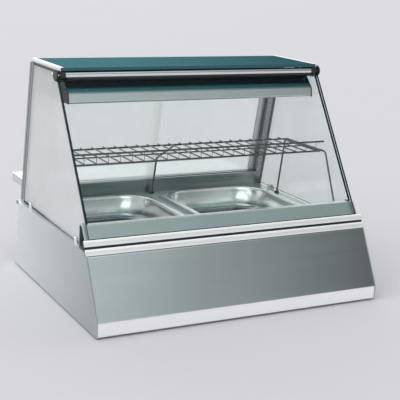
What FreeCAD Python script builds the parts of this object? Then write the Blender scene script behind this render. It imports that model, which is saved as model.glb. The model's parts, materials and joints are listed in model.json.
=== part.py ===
import FreeCAD, Part
import math
import os

# Countertop hot food display case: a stainless base with a heated well and two
# lift-out food pans, a leaning glass house with a lift-up front glass, a wire
# shelf, a heat-lamp canopy, sliding rear doors and a serving board behind.
# While it is drawn, X runs to the right, Y runs back from the front lip and
# Z runs up from the worktop.  export() then moves the origin to the middle
# of the footprint.  Lengths are in millimetres and angles in degrees.

V = FreeCAD.Vector

# ---------------------------------------------------------------- base housing
case_width = 760.0
base_depth = 603.5            # front lip to rear edge, at the worktop
deck_height = 180.0
skirt_gap = 4.0               # worktop to the lower edge of the skirt
lip_height = 38.0             # top of the upright front lip
base_lean = 27.5              # front panel, from upright
rear_lean = 11.9              # whole rear, from upright
sheet = 1.5
sheet_bend = 3.0              # bend radius at the middle of the sheet
panel_gap = 0.3               # between sheets that meet edge to edge
side_hem = 3.5                # return edge around each side panel
panel_height = 173.0          # top of the front panel
panel_return = 10.0

# ------------------------------------------------------------- front trim bars
trim_bar = 15.0
trim_groove = 6.0
trim_depth = 6.5
trim_groove_depth = 2.0
trim_proud = 2.6
trim_edge = 0.8

# --------------------------------------------------------------- front coaming
coaming_height = 232.0
coaming_top = 14.0
coaming_foot = 12.0
coaming_inset = 6.0           # end of the coaming inside the case side
coaming_gap = 1.5             # behind the front glass

# ------------------------------------------------------------------ deck, well
pan_width = 325.0             # gastronorm two-thirds, over the flange
pan_length = 354.0
pan_depth = 65.0
pan_wall = 1.0
pan_flange = 12.0
pan_flange_corner = 95.0
pan_taper = 4.0               # drawn in on each side from rim to floor
pan_floor_round = 16.0
pan_rim_round = 3.0
pan_pitch = 360.0
pan_rear_gap = 5.0            # flange to the rear rail
pan_seat = 9.0                # flange resting on the deck
deck_flange = 10.0
divider_half = 14.0
divider_drop = 14.0
well_gap = 4.0
well_floor = 60.0
well_wall = 1.2
well_rim = 12.0
well_corner = 14.0
well_outlet = 30.0            # outlet ahead of the rear of the opening
divider_lap = 14.0
divider_sheet = 1.0
divider_land = 18.0           # flat end of the divider behind its trough

# ------------------------------------------------------------------ glass house
glass = 6.0
top_glass = 8.0
glass_lean = 33.2             # front glass, from upright
glass_inset = 14.0            # edge of the front glass inside the case side
pane_inset = 15.0             # outer face of a side glass inside the case side
pane_lift = 4.0               # side glass above the deck
pane_gap = 1.0
top_height = 565.0            # upper face of the top glass
top_nose = 8.0                # front edge of the top glass ahead of the hinge axis
top_inset = 22.0              # side edge of the top glass inside the case side
side_rail_height = 5.0
side_rail_width = 14.0
top_trim = 2.0
top_trim_leg = 7.0
glass_gap = 1.5               # front glass to the trim bar below it

# ----------------------------------------------------------------- front hinge
tube_radius = 9.0
tube_wall = 1.5
hinge_drop = 10.5             # tube axis below the top glass
tube_grip = 8.0               # glass held inside the tube
pin_radius = 4.0
pin_fit = 0.05
hub_width = 12.0
hub_reach = 44.0
hub_gap = 0.5
hub_screw = 14.0              # screw ahead of the rear of the hinge block
hub_nose = 12.0               # radius of the hinge block's round front
disc_radius = 14.0
disc_width = 4.0
tube_end_gap = 1.0
notch_radius = 15.0
pivot_bolt = 3.0
tube_plug = 12.0              # solid end of the tube

# ------------------------------------------------------------------ rear frame
frame_depth = 26.0
post_width = 24.0
post_wall = 2.0
lower_rail_height = 219.0     # top of the lower rail at its front edge
upper_rail_drop = 35.0        # underside of the upper rail below the top glass
door_glass = 5.0
door_play = 0.5
track_first = 4.0             # rail face to the first track
track_pitch = 11.0
track_lower = 8.0
track_upper = 12.0
door_lift_gap = 1.5
door_overlap = 18.0
door_end_gap = 1.0
stile_width = 18.0
stile_wall = 1.2
ledge = 32.0
ledge_hem = 12.0

# --------------------------------------------------------------------- canopy
canopy_drop = 18.0            # roof of the canopy below the top glass
canopy_slope = 35.0           # height of the sloping front face
canopy_face = 24.0            # height of the upright lower face
canopy_nose = 21.0            # lower front edge ahead of the hinge axis
canopy_slope_end = 18.0       # head of the sloping face behind the hinge axis
canopy_rear_gap = 8.0         # canopy to the rear plane
canopy_inset = 39.0           # canopy end inside the case side
canopy_cap = 3.0
canopy_cap_lip = 1.0
canopy_hem = 10.0
canopy_lead = 4.0             # fold behind the lower front edge
canopy_bend = 4.0
canopy_cap_round = 14.0
lamp_radius = 5.0
lamp_length = 560.0
lamp_drop = 14.0
lamp_pitch = 66.0
holder_width = 24.0
holder_height = 26.0
holder_depth = 18.0
holder_round = 6.0
lamp_socket = 8.0             # depth of the lamp in its holder
reflector_sheet = 0.8
reflector_drop = 9.0          # reflector below the canopy roof
reflector_front = 32.0        # low front edge behind the canopy's front
reflector_head = 14.0         # head of its front slope behind the canopy's slope
reflector_back = 42.0         # head of its rear slope ahead of the canopy's rear
reflector_rear = 14.0         # low rear edge ahead of the canopy's rear
reflector_bend = 3.0
hanger_width = 22.0
hanger_sheet = 2.0
hanger_leg = 30.0             # leg of a hanger below the canopy roof
hanger_screws = (8.0, 20.0)
hanger_front = 45.0           # front hanger behind the head of the slope
hanger_rear = 30.0            # rear hanger ahead of the canopy rear
lamp_forward = 12.0           # lamps ahead of the middle of the flat roof

# ----------------------------------------------------------------------- shelf
shelf_height = 344.0
shelf_gap = 31.57             # raised rail behind the front glass
shelf_depth = 177.0
shelf_inset = 35.0            # shelf end inside the case side
shelf_wire = 2.5              # frame wire radius
cross_wire = 1.75
shelf_pitch = 31.0
cross_wire_tail = 8.0         # cross wires run on past the rear wire
rail_rise = 25.0
rail_overhang = 6.0
leg_inset = 5.0
front_foot_gap = 20.5         # front foot behind the coaming
rear_foot_gap = 38.0          # rear foot behind the rear wire
foot_radius = 7.0
foot_height = 5.0
strut_foot_gap = 17.0         # strut foot ahead of the rear plane
strut_gap = 20.0              # strut ahead of the rear plane
strut_bend = 285.0
strut_round = 20.0
leg_bend = 14.0
leg_lead = 12.0               # front bend of a leg ahead of the front wire
leg_trail = 10.0              # rear bend of a leg behind the rear wire
rack_margin = 5.0             # end of the rack left clear of cross wires

# --------------------------------------------------------------- serving board
board_height = 216.0
board_depth = 168.0
board_inset = 42.0            # board end inside the case side
board_edge = 22.0
board_gap = 4.0
board_corner = 6.0
board_screw_front = 30.0      # front screws behind the board's front edge
board_screw_rear = 40.0       # rear screws ahead of its rear edge
bracket_end = 14.0            # bracket ahead of the board's rear edge
bracket_toe = 4.0             # bracket below the board's edge
bracket_inset = 80.0          # bracket inside the case side
bracket_sheet = 3.0
bracket_foot = 70.0           # lowest point of the bracket on the rear panel
bracket_shoulder = 150.0

# -------------------------------------------------------------------- controls
control_height = 36.0         # along the rear panel
control_plate_width = 250.0
control_plate_height = 46.0
control_plate_middle = 150.0
control_plate_sheet = 1.0
knob_place = 235.0
knob_radius = 19.0
knob_length = 20.0
thermostat_size = 36.0
thermostat_height = 30.0
thermostat_depth = 30.0
shaft_radius = 3.0
shaft_fit = 0.05
shaft_clear = 1.5             # shaft to the panel and the plate
plate_corner = 4.0
switch_places = (90.0, 135.0)
switch_width = 16.0
switch_height = 24.0
switch_bezel = 3.0
switch_play = 0.4
switch_depth = 22.0           # housing behind the panel face
rocker_stand = 3.0
trunnion_radius = 1.5
trunnion = 0.3                # pivot stub on each side of a rocker
lamp_place = 180.0
pilot_radius = 6.0            # hole of the pilot lamp
pilot_play = 0.2
gland_place = -40.0
gland_radius = 10.0
gland_land = 2.0              # nut wider than its hole
gland_play = 0.2
gland_nut = 6.0               # thickness of the hexagon
gland_reach = 20.0
drain_place = -230.0
drain_height = 40.0
drain_radius = 7.0
drain_wall = 1.5
valve_radius = 11.0
valve_length = 44.0
valve_gap = 0.5               # valve body to the rear panel
spout_radius = 8.0
spout_reach = 10.0            # straight spout below its collar
collar_radius = 9.5
collar_drop = 17.0            # collar below the valve axis
stem_place = 18.0             # valve stem behind the valve's front end

# --------------------------------------------------------------- feet, screws
foot_pad_radius = 18.0
foot_taper = 3.0
foot_inset_x = 60.0
foot_inset_y = 70.0
bottom_height = 12.0
bottom_sheet = 1.2
bottom_flange = 12.0
vent_count = 9
vent_pitch = 44.0
vent_length = 30.0
vent_width = 6.0
rear_return = 20.0
screw_radius = 2.0
screw_head = 3.8
screw_head_height = 2.0
clamp_length = 14.0
clamp_rise = 12.0
clamp_side = 4.0
clamp_screw_drop = 4.5
clamp_places = (170.0, 503.0)
insulation_low = 16.0
insulation_high = 36.0
mat_gap = 40.0                # mat ahead of the rear of the opening
mat_corner = 12.0
rear_screw_side = 24.0        # outer rear screws inside the case side
rear_screw_offset = 50.0      # inner rear screws outside the quarter line
rear_screw_heights = (80.0, 140.0)
element_radius = 4.0

# ------------------------------------------------------------- worked-out sizes
half = case_width / 2.0
board_front = base_depth - math.tan(math.radians(rear_lean)) * (board_height - board_edge)
board_front += frame_depth / math.cos(math.radians(rear_lean)) + board_gap
overall_depth = board_front + board_depth
hem_inside = half - side_hem
face_half = hem_inside - panel_gap
deck_half = face_half
top_glass_under = top_height - top_glass
hinge_z = top_glass_under - hinge_drop
pane_top = top_glass_under - side_rail_height
pan_top = deck_height + pan_wall
pan_corner = pan_flange_corner - pan_flange
coaming_half = half - coaming_inset
glass_half = half - glass_inset
pane_outside = half - pane_inset
top_half = half - top_inset
canopy_half = half - canopy_inset
shelf_half = half - shelf_inset
board_half = half - board_inset
bracket_place = half - bracket_inset
upper_rail_height = top_glass_under - upper_rail_drop
canopy_top = top_glass_under - canopy_drop
canopy_fold = canopy_top - canopy_slope
canopy_low = canopy_fold - canopy_face


# ------------------------------------------------------------------ small tools
def export(node, shape):
    """Write one node, moved so that the origin is under the middle of the case."""
    placed = shape.copy()
    placed.translate(V(0, -overall_depth / 2.0, 0))
    placed.exportStep("parts/" + node + ".step")


def block(x0, x1, y0, y1, z0, z1):
    """A box between two corners."""
    return Part.makeBox(x1 - x0, y1 - y0, z1 - z0, V(x0, y0, z0))


def rod(radius, start, end):
    """A round bar between two points."""
    start = V(*start)
    along = V(*end) - start
    return Part.makeCylinder(radius, along.Length, start, along)


def plate(outline, x0, x1):
    """An outline of (y, z) points, drawn through from x0 to x1."""
    points = [V(x0, y, z) for y, z in outline]
    face = Part.Face(Part.makePolygon(points + points[:1]))
    return face.extrude(V(x1 - x0, 0, 0))


def mirror(shape):
    """The same piece on the other side of the case."""
    return shape.mirror(V(0, 0, 0), V(1, 0, 0))


def join(pieces):
    """One solid from pieces that overlap or touch."""
    whole = pieces[0]
    if len(pieces) > 1:
        whole = whole.fuse(pieces[1:])
    return whole.removeSplitter()


def group(pieces):
    """Several separate solids in one node."""
    return Part.makeCompound(pieces)


def unit(dy, dz):
    length = math.hypot(dy, dz)
    return dy / length, dz / length


def bent_sheet(points, thickness, bend, x0, x1):
    """A sheet folded along (y, z) points on its middle line, from x0 to x1."""
    sides = {1: [], -1: []}
    last = {}
    count = len(points)
    for index, point in enumerate(points):
        for side in (1, -1):
            offset = side * thickness / 2.0
            if index in (0, count - 1):
                a = points[index - 1] if index else point
                b = point if index else points[1]
                dy, dz = unit(b[0] - a[0], b[1] - a[1])
                spot = V(x0, point[0] - dz * offset, point[1] + dy * offset)
                if index:
                    sides[side].append(Part.LineSegment(last[side], spot).toShape())
                last[side] = spot
                continue
            iy, iz = unit(point[0] - points[index - 1][0], point[1] - points[index - 1][1])
            oy, oz = unit(points[index + 1][0] - point[0], points[index + 1][1] - point[1])
            turn = math.atan2(iy * oz - iz * oy, iy * oy + iz * oz)
            trim = bend * math.tan(abs(turn) / 2.0)
            way = 1 if turn > 0 else -1
            start = V(x0, point[0] - iy * trim - iz * offset, point[1] - iz * trim + iy * offset)
            finish = V(x0, point[0] + oy * trim - oz * offset, point[1] + oz * trim + oy * offset)
            centre = V(x0, point[0] - iy * trim - iz * way * bend,
                       point[1] - iz * trim + iy * way * bend)
            out = V(x0, point[0], point[1]) - centre
            middle = centre + out.normalize() * (bend - way * offset)
            sides[side].append(Part.LineSegment(last[side], start).toShape())
            sides[side].append(Part.Arc(start, middle, finish).toShape())
            last[side] = finish
    first = {side: sides[side][0].Vertexes[0].Point for side in sides}
    edges = sides[1] + sides[-1]
    edges.append(Part.LineSegment(first[1], first[-1]).toShape())
    edges.append(Part.LineSegment(last[1], last[-1]).toShape())
    wire = Part.Wire(Part.__sortEdges__(edges))
    return Part.Face(wire).extrude(V(x1 - x0, 0, 0))


def rounded_plate(x0, x1, y0, y1, z0, thick, corner):
    """A flat plate with round corners."""
    slab = block(x0, x1, y0, y1, z0, z0 + thick)
    upright = [e for e in slab.Edges if abs(e.Vertexes[0].Z - e.Vertexes[-1].Z) > thick / 2.0]
    return slab.makeFillet(corner, upright)


def drilled(shape, fixings):
    """A piece with a clearance hole for the shank of each fixing."""
    holes = []
    for spot, way, length in fixings:
        start = V(*spot)
        along = V(*way).normalize()
        holes.append(Part.makeCylinder(screw_radius + pin_fit, length + 2.0 * screw_head_height,
                                       start - along * screw_head_height, along))
    return shape.cut(holes)


def mirrored(fixings):
    """The fixings with their mirror images."""
    pairs = list(fixings)
    for spot, way, length in fixings:
        pairs.append(((-spot[0], spot[1], spot[2]), (-way[0], way[1], way[2]), length))
    return pairs


def screw(fixing):
    """A domed-head screw; a fixing is the seat of its head, the way its shank goes and its length."""
    spot, way, length = fixing
    spot = V(*spot)
    way = V(*way).normalize()
    shank = Part.makeCylinder(screw_radius, length, spot, way)
    head = Part.makeCylinder(screw_head, screw_head_height, spot, way * -1)
    rim = [e for e in head.Edges if (e.CenterOfMass - spot).Length > screw_head_height * 0.9
           and len(e.Vertexes) == 1]
    head = head.makeFillet(screw_head_height * 0.6, rim)
    return head.fuse(shank).removeSplitter()


# -------------------------------------------------------------- leaning planes
def on_base(along, out):
    """(y, z) of a point up the front panel from the lip, and out from its face."""
    lean = math.radians(base_lean)
    return (along * math.sin(lean) - out * math.cos(lean),
            lip_height + along * math.cos(lean) + out * math.sin(lean))


panel_run = (panel_height - lip_height) / math.cos(math.radians(base_lean))
trim_low_end = panel_run + trim_bar
trim_groove_end = trim_low_end + trim_groove
trim_end = trim_groove_end + trim_bar
glass_foot = on_base(trim_end + glass_gap, -1.0)


def on_glass(along, out):
    """(y, z) of a point up the front glass from its lower edge, and out from its face."""
    lean = math.radians(glass_lean)
    return (glass_foot[0] + along * math.sin(lean) - out * math.cos(lean),
            glass_foot[1] + along * math.cos(lean) + out * math.sin(lean))


def glass_back(z):
    """The inner face of the front glass at a height."""
    foot_y, foot_z = on_glass(0, -glass)
    return foot_y + (z - foot_z) * math.tan(math.radians(glass_lean))


def rear_y(z):
    """The rear plane of the base and the glass house."""
    return base_depth - z * math.tan(math.radians(rear_lean))


def lean_rear(shape):
    """Tip a piece drawn on the upright plane y = base_depth onto the rear plane."""
    tipped = shape.copy()
    tipped.rotate(V(0, base_depth, 0), V(1, 0, 0), rear_lean)
    return tipped


def along_rear(z):
    """The distance up the rear plane to a height."""
    return z / math.cos(math.radians(rear_lean))


def keep_between(shape, z0, z1):
    """Saw a leaning piece off level at its foot and its head."""
    return shape.common(block(-case_width, case_width, -base_depth, base_depth * 2, z0, z1))


glass_run_to_hinge = (hinge_z - on_glass(0, -glass / 2.0)[1]) / math.cos(math.radians(glass_lean))
hinge = on_glass(glass_run_to_hinge, -glass / 2.0)
top_front = hinge[0] - top_nose
top_rear = rear_y(top_glass_under) + frame_depth
canopy_front = hinge[0] - canopy_nose
canopy_slope_back = hinge[0] + canopy_slope_end
canopy_rear = rear_y(canopy_top) - canopy_rear_gap
shelf_front = glass_back(shelf_height + rail_rise) + shelf_gap
shelf_rear = shelf_front + shelf_depth
rear_foot = shelf_rear + rear_foot_gap
strut_foot = rear_y(deck_height) - strut_foot_gap
post_inside = pane_outside + 1.0 - post_width
ledge_top = deck_height - sheet / 2.0
pan_rear = rear_y(pan_top) - pan_rear_gap
pan_front = pan_rear - pan_length
opening_front = pan_front + pan_seat
opening_rear = pan_rear - pan_seat
opening_half = pan_pitch / 2.0 + pan_width / 2.0 - pan_seat


# ------------------------------------------------------------------------ base
def side_panel():
    """A folded side panel with a narrow return edge; its front clears the trim bars."""
    back = trim_depth + 1.0
    notch_low = on_base(panel_run - panel_gap, -back)
    lean = math.radians(base_lean)
    rise = (deck_height - notch_low[1]) / math.cos(lean)
    outline = [
        (0, skirt_gap), (0, lip_height), on_base(panel_run - panel_gap, 0), notch_low,
        (notch_low[0] + rise * math.sin(lean), deck_height),
        (rear_y(deck_height), deck_height), (rear_y(skirt_gap), skirt_gap)]
    outer = plate(outline, hem_inside, half)
    points = [V(hem_inside, y, z) for y, z in outline]
    inner_wire = Part.makePolygon(points + points[:1]).makeOffset2D(-sheet)
    return outer.cut(Part.Face(inner_wire).extrude(V(side_hem - sheet, 0, 0)))


def front_panel():
    """The front sheet: skirt, upright lip, leaning face and a return under the trim."""
    inset = sheet / 2.0
    top = panel_run - panel_gap - inset
    fold = (inset, lip_height - inset * math.tan(math.radians(base_lean / 2.0)))
    points = [(panel_return + 8.0, skirt_gap + inset), (inset, skirt_gap + inset), fold,
              on_base(top, -inset), on_base(top, -inset - panel_return)]
    return bent_sheet(points, sheet, sheet_bend, -face_half, face_half)


def rear_panel():
    """The rear sheet, folded out into the ledge that carries the rear frame."""
    inset = sheet / 2.0
    low = bottom_height + bottom_sheet + inset
    high = ledge_top - inset
    shift = inset / math.cos(math.radians(rear_lean))
    points = [(rear_y(low) - shift - rear_return, low), (rear_y(low) - shift, low),
              (rear_y(high) - shift, high), (rear_y(high) - shift + ledge, high),
              (rear_y(high) - shift + ledge, high - ledge_hem)]
    panel = bent_sheet(points, sheet, sheet_bend, -face_half, face_half)
    cuts = [rod(shaft_radius + shaft_clear, (knob_place, base_depth - 20, control_height),
                (knob_place, base_depth + 20, control_height))]
    for place in switch_places:
        cuts.append(block(place - switch_width / 2.0, place + switch_width / 2.0,
                          base_depth - 20, base_depth + 20,
                          control_height - switch_height / 2.0,
                          control_height + switch_height / 2.0))
    cuts.append(rod(pilot_radius, (lamp_place, base_depth - 20, control_height),
                    (lamp_place, base_depth + 20, control_height)))
    cuts.append(rod(gland_radius - gland_land, (gland_place, base_depth - 20, control_height),
                    (gland_place, base_depth + 20, control_height)))
    for cut in cuts:
        panel = panel.cut(lean_rear(cut))
    drain = rod(drain_radius + drain_wall, (drain_place, base_depth - 60, drain_height),
                (drain_place, base_depth + 60, drain_height))
    return drilled(panel.cut(drain), rear_fixings())


def bottom_plate():
    """The floor of the base: a tray turned up on three sides, with rows of vent slots."""
    side = half - sheet - panel_gap
    front = sheet + panel_gap
    rear = rear_y(bottom_height) - sheet - panel_gap
    flange_end = rear - rear_return - panel_gap
    floor_top = bottom_height + bottom_sheet
    flange_top = bottom_height + bottom_flange
    tray = join([
        block(-side, side, front, rear, bottom_height, floor_top),
        block(-side, side, front, front + bottom_sheet, bottom_height, flange_top),
        block(-side, -side + bottom_sheet, front, flange_end, bottom_height, flange_top),
        block(side - bottom_sheet, side, front, flange_end, bottom_height, flange_top)])
    slots = []
    for row in (base_depth * 0.4, base_depth * 0.6):
        for index in range(vent_count):
            x = (index - (vent_count - 1) / 2.0) * vent_pitch
            slots.append(rounded_plate(x - vent_length / 2.0, x + vent_length / 2.0,
                                       row - vent_width / 2.0, row + vent_width / 2.0,
                                       bottom_height - 1, bottom_sheet + 2, 2.9))
    return drilled(tray.cut(slots), foot_fixings())


def feet():
    """Four rubber feet, wider at the worktop."""
    pads = []
    for x in (-half + foot_inset_x, half - foot_inset_x):
        for y in (foot_inset_y, base_depth - foot_inset_y):
            pads.append(Part.makeCone(foot_pad_radius, foot_pad_radius - foot_taper, bottom_height,
                                      V(x, y, 0)))
    return group(pads)


def foot_fixings():
    """A screw through the floor into each foot."""
    top = bottom_height + bottom_sheet
    return [((x, y, top), (0, 0, -1), bottom_sheet)
            for x in (-half + foot_inset_x, half - foot_inset_x)
            for y in (foot_inset_y, base_depth - foot_inset_y)]


def trim_carrier():
    """The backing strip that the two bright bars clip onto."""
    out = -trim_groove_depth
    outline = [on_base(panel_run, -trim_depth), on_base(panel_run, out),
               on_base(trim_end, out), on_base(trim_end, -trim_depth)]
    return plate(outline, -half, half)


def trim_bright(start):
    """One bright bar with a softly rounded face."""
    end = start + trim_bar
    corners = [on_base(start, -trim_groove_depth), on_base(end, -trim_groove_depth),
               on_base(end, trim_edge), on_base(start, trim_edge)]
    crown = on_base((start + end) / 2.0, trim_proud)
    p = [V(-half, y, z) for y, z in corners]
    wire = Part.Wire([Part.LineSegment(p[0], p[1]).toShape(),
                      Part.LineSegment(p[1], p[2]).toShape(),
                      Part.Arc(p[2], V(-half, *crown), p[3]).toShape(),
                      Part.LineSegment(p[3], p[0]).toShape()])
    return Part.Face(wire).extrude(V(case_width, 0, 0))


coaming_out = -glass - coaming_gap - sheet / 2.0
coaming_run = (coaming_height - on_glass(0, coaming_out)[1]) / math.cos(math.radians(glass_lean))
coaming_top_point = on_glass(coaming_run, coaming_out)
coaming_back = coaming_top_point[0] + coaming_top
front_foot = coaming_back + front_foot_gap


def front_coaming():
    """The folded upstand behind the foot of the front glass."""
    foot = deck_height + sheet / 2.0
    points = [on_glass(-4.0, coaming_out), coaming_top_point,
              (coaming_back, coaming_top_point[1]), (coaming_back, foot),
              (coaming_back + coaming_foot, foot)]
    return bent_sheet(points, sheet, sheet_bend, -coaming_half, coaming_half)


def deck():
    """The deck sheet around the well opening, with turned-down edges."""
    low = deck_height - sheet
    front = on_base(trim_end, -trim_depth)[0] + 1.0
    rear = rear_y(deck_height) - panel_gap
    top = block(-deck_half, deck_half, front, rear, low, deck_height)
    reach = pan_pitch / 2.0 - pan_width / 2.0 + pan_seat + panel_gap
    opening = [block(-reach, reach, opening_front, opening_rear, low - 1, deck_height + 1)]
    for x0, x1 in ((-opening_half, panel_gap - reach), (reach - panel_gap, opening_half)):
        opening.append(rounded_plate(x0, x1, opening_front, opening_rear, low - 1, sheet + 2,
                                     pan_flange_corner - pan_seat))
    edges = [
        block(-deck_half, deck_half, front, front + sheet, deck_height - deck_flange, low),
        block(-deck_half, -deck_half + sheet, front, rear - 6, deck_height - deck_flange, low),
        block(deck_half - sheet, deck_half, front, rear - 6, deck_height - deck_flange, low)]
    return join([top.cut(opening)] + edges)


def divider_tabs(grow):
    """The end tabs of the divider, tucked under the deck."""
    low = deck_height - sheet - divider_sheet
    return [block(-divider_half - grow, divider_half + grow, y0, y1, low - grow, deck_height - sheet)
            for y0, y1 in ((opening_front - divider_lap, opening_front + sheet),
                           (opening_rear - sheet, opening_rear + divider_lap))]


def divider_bar():
    """A strip between the pans, flush with the deck, with a sunken trough along it."""
    t = divider_sheet
    reach = pan_pitch / 2.0 - pan_width / 2.0 + pan_seat
    y0 = opening_front + panel_gap
    y1 = opening_rear - panel_gap
    strip = block(-reach, reach, y0, y1, deck_height - sheet, deck_height)
    trough = block(-divider_half, divider_half, y0, y1 - divider_land,
                   deck_height - divider_drop, deck_height)
    hollow = block(-divider_half + t, divider_half - t, y0 + t, y1 - divider_land - t,
                   deck_height - divider_drop + t, deck_height + 1)
    return join([strip, trough] + divider_tabs(0)).cut(hollow)


def well_tank():
    """The heated well under both pans, hung from the deck by its rim."""
    x1 = opening_half + well_gap
    y0 = opening_front - well_gap
    y1 = opening_rear + well_gap
    rim_top = deck_height - sheet
    body = block(-x1, x1, y0, y1, well_floor - well_wall, rim_top)
    upright = [e for e in body.Edges if abs(e.Vertexes[0].Z - e.Vertexes[-1].Z) > 50]
    body = body.makeFillet(well_corner, upright)
    rim = block(-x1 - well_rim, x1 + well_rim, y0 - well_rim, min(y1 + well_rim, pan_rear),
                rim_top - well_wall, rim_top)
    hollow = block(-x1 + well_wall, x1 - well_wall, y0 + well_wall, y1 - well_wall,
                   well_floor, rim_top + 1)
    upright = [e for e in hollow.Edges if abs(e.Vertexes[0].Z - e.Vertexes[-1].Z) > 50]
    hollow = hollow.makeFillet(well_corner - well_wall, upright)
    drain = rod(drain_radius - drain_wall, (drain_place, opening_rear - well_outlet, well_floor - 5),
                (drain_place, opening_rear - well_outlet, well_floor + 5))
    return join([body, rim]).cut(hollow).cut(drain).cut(divider_tabs(panel_gap))


def pan_outline(grow, z, corner):
    """A rounded rectangle for the pan body, centred on the origin."""
    hx = pan_width / 2.0 - pan_flange + grow
    hy = pan_length / 2.0 - pan_flange + grow
    slab = rounded_plate(-hx, hx, -hy, hy, z, 1.0, corner)
    low = [f for f in slab.Faces if abs(f.CenterOfMass.z - z) < 1e-6][0]
    return low.OuterWire


def pan_solid(grow, depth):
    """The drawn body of a pan, tapering to a rounded floor."""
    top = pan_outline(grow, 0, pan_corner + grow)
    floor = pan_outline(grow - pan_taper, -depth, pan_corner + grow - pan_taper)
    body = Part.makeLoft([top, floor], True, True)
    low = [e for e in body.Edges if abs(e.BoundBox.ZMin + depth) < 1e-3
           and abs(e.BoundBox.ZMax + depth) < 1e-3]
    return body.makeFillet(pan_floor_round + grow, low)


def pan(side):
    """A deep pan with a flat flange; side is -1 for left and 1 for right."""
    flange = rounded_plate(-pan_width / 2.0, pan_width / 2.0, -pan_length / 2.0,
                           pan_length / 2.0, -pan_wall, pan_wall, pan_flange_corner)
    outer = pan_solid(0, pan_depth)
    inner = pan_solid(-pan_wall, pan_depth - pan_wall)
    shell = join([flange, outer]).cut(inner)
    top = [f for f in shell.Faces if abs(f.BoundBox.ZMin) < 1e-3 and abs(f.BoundBox.ZMax) < 1e-3][0]
    mouth = min(top.Wires, key=lambda wire: wire.BoundBox.DiagonalLength)
    shell = shell.makeFillet(pan_wall * 0.45, mouth.Edges)
    shell.translate(V(side * pan_pitch / 2.0, (pan_front + pan_rear) / 2.0, pan_top))
    return shell


def heating_element():
    """A tubular heater bent to and fro under the floor of the well."""
    z = well_floor - well_wall - element_radius
    reach = opening_half - 60.0
    rows = 4
    first = opening_front + 60.0
    step = 66.0
    bars = []
    for row in range(rows):
        y = first + row * step
        bars.append(rod(element_radius, (-reach, y, z), (reach, y, z)))
        if row:
            end = reach if row % 2 else -reach
            ring = Part.makeTorus(step / 2.0, element_radius, V(end, y - step / 2.0, z))
            away = 1 if row % 2 else -1
            room = block(min(end, end + away * step), max(end, end + away * step),
                         y - step * 1.5, y + step * 0.5, z - 10, z + 10)
            bars.append(ring.common(room))
    return join(bars)


def insulation():
    """A mineral-fibre mat on the floor of the base."""
    mat = block(-opening_half, opening_half, opening_front, opening_rear - mat_gap,
                insulation_low, insulation_high)
    upright = [e for e in mat.Edges if abs(e.Vertexes[0].Z - e.Vertexes[-1].Z) > 5]
    return mat.makeFillet(mat_corner, upright)


# ----------------------------------------------------------------- glass house
def side_glass():
    """A side pane, notched for the coaming and for the front hinge."""
    inner_out = -glass - pane_gap
    low = deck_height + pane_lift
    lean = math.radians(glass_lean)
    over = coaming_height + sheet / 2.0 + pane_gap
    behind = coaming_back + sheet / 2.0 + pane_gap

    def front_y(z):
        run = (z - on_glass(0, inner_out)[1]) / math.cos(lean)
        return on_glass(run, inner_out)[0]

    rear = rear_y(pane_top) - pane_gap
    outline = [(behind, low), (behind, over), (front_y(over), over),
               (front_y(pane_top), pane_top), (rear, pane_top),
               (rear_y(low) - pane_gap, low)]
    pane = plate(outline, pane_outside - glass, pane_outside)
    notch = rod(notch_radius, (pane_outside - glass - 1, *hinge), (pane_outside + 1, *hinge))
    bolt = rod(pivot_bolt, (pane_outside - glass - 1, hinge[0] + hub_reach - hub_screw, hinge[1]),
               (pane_outside + 1, hinge[0] + hub_reach - hub_screw, hinge[1]))
    return pane.cut(notch).cut(bolt)


def clamps():
    """Four small saddles that hold the side panes above the deck."""
    pieces = []
    middle = pane_outside - glass / 2.0
    half_width = glass / 2.0 + clamp_side
    for y in clamp_places:
        saddle = block(middle - half_width, middle + half_width, y - clamp_length / 2.0,
                       y + clamp_length / 2.0, deck_height, deck_height + clamp_rise)
        upright = [e for e in saddle.Edges if abs(e.Vertexes[0].Z - e.Vertexes[-1].Z) > 5]
        saddle = saddle.makeFillet(2.0, upright)
        slot = block(pane_outside - glass, pane_outside, y - clamp_length, y + clamp_length,
                     deck_height + pane_lift, deck_height + clamp_rise + 1)
        saddle = saddle.cut(slot)
        saddle = drilled(saddle, clamp_fixings())
        pieces += [saddle, mirror(saddle)]
    return group(pieces)


def clamp_fixings():
    """A grub screw on the outer cheek of each saddle."""
    face = pane_outside + clamp_side
    return [((face, y, deck_height + clamp_rise - clamp_screw_drop), (-1, 0, 0), clamp_side)
            for y in clamp_places]


def side_rail():
    """The dark rail on top of a side pane, notched round the hinge block."""
    rail = block(pane_outside + 1.0 - side_rail_width, pane_outside + 1.0,
                 hinge[0] - 2.0, rear_y(pane_top) - pane_gap, pane_top, top_glass_under)
    inner = pane_outside - glass - hub_gap + panel_gap
    return rail.cut(block(0, inner, hinge[0] - hub_nose, hinge[0] + hub_reach + panel_gap,
                          pane_top - 1, top_glass_under + 1))


def top_pane():
    """The top glass with softened edges."""
    pane = block(-top_half, top_half, top_front, top_rear, top_glass_under, top_height)
    level = [e for e in pane.Edges if abs(e.Vertexes[0].Z - e.Vertexes[-1].Z) < 0.1]
    return pane.makeChamfer(0.8, level)


def top_edge_trim():
    """A bright channel that caps a side edge of the top glass."""
    x0 = top_half - top_trim_leg
    outside = top_half + top_trim
    lip = 1.0
    body = block(x0, outside, top_front, top_rear, top_height, top_height + lip)
    cheek = block(top_half, outside, top_front, top_rear, top_glass_under, top_height)
    bar = join([body, cheek])
    crest = [e for e in bar.Edges if abs(e.CenterOfMass.x - outside) < 1e-3
             and abs(e.CenterOfMass.z - top_height - lip) < 1e-3]
    return bar.makeFillet(lip * 0.8, crest)


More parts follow.
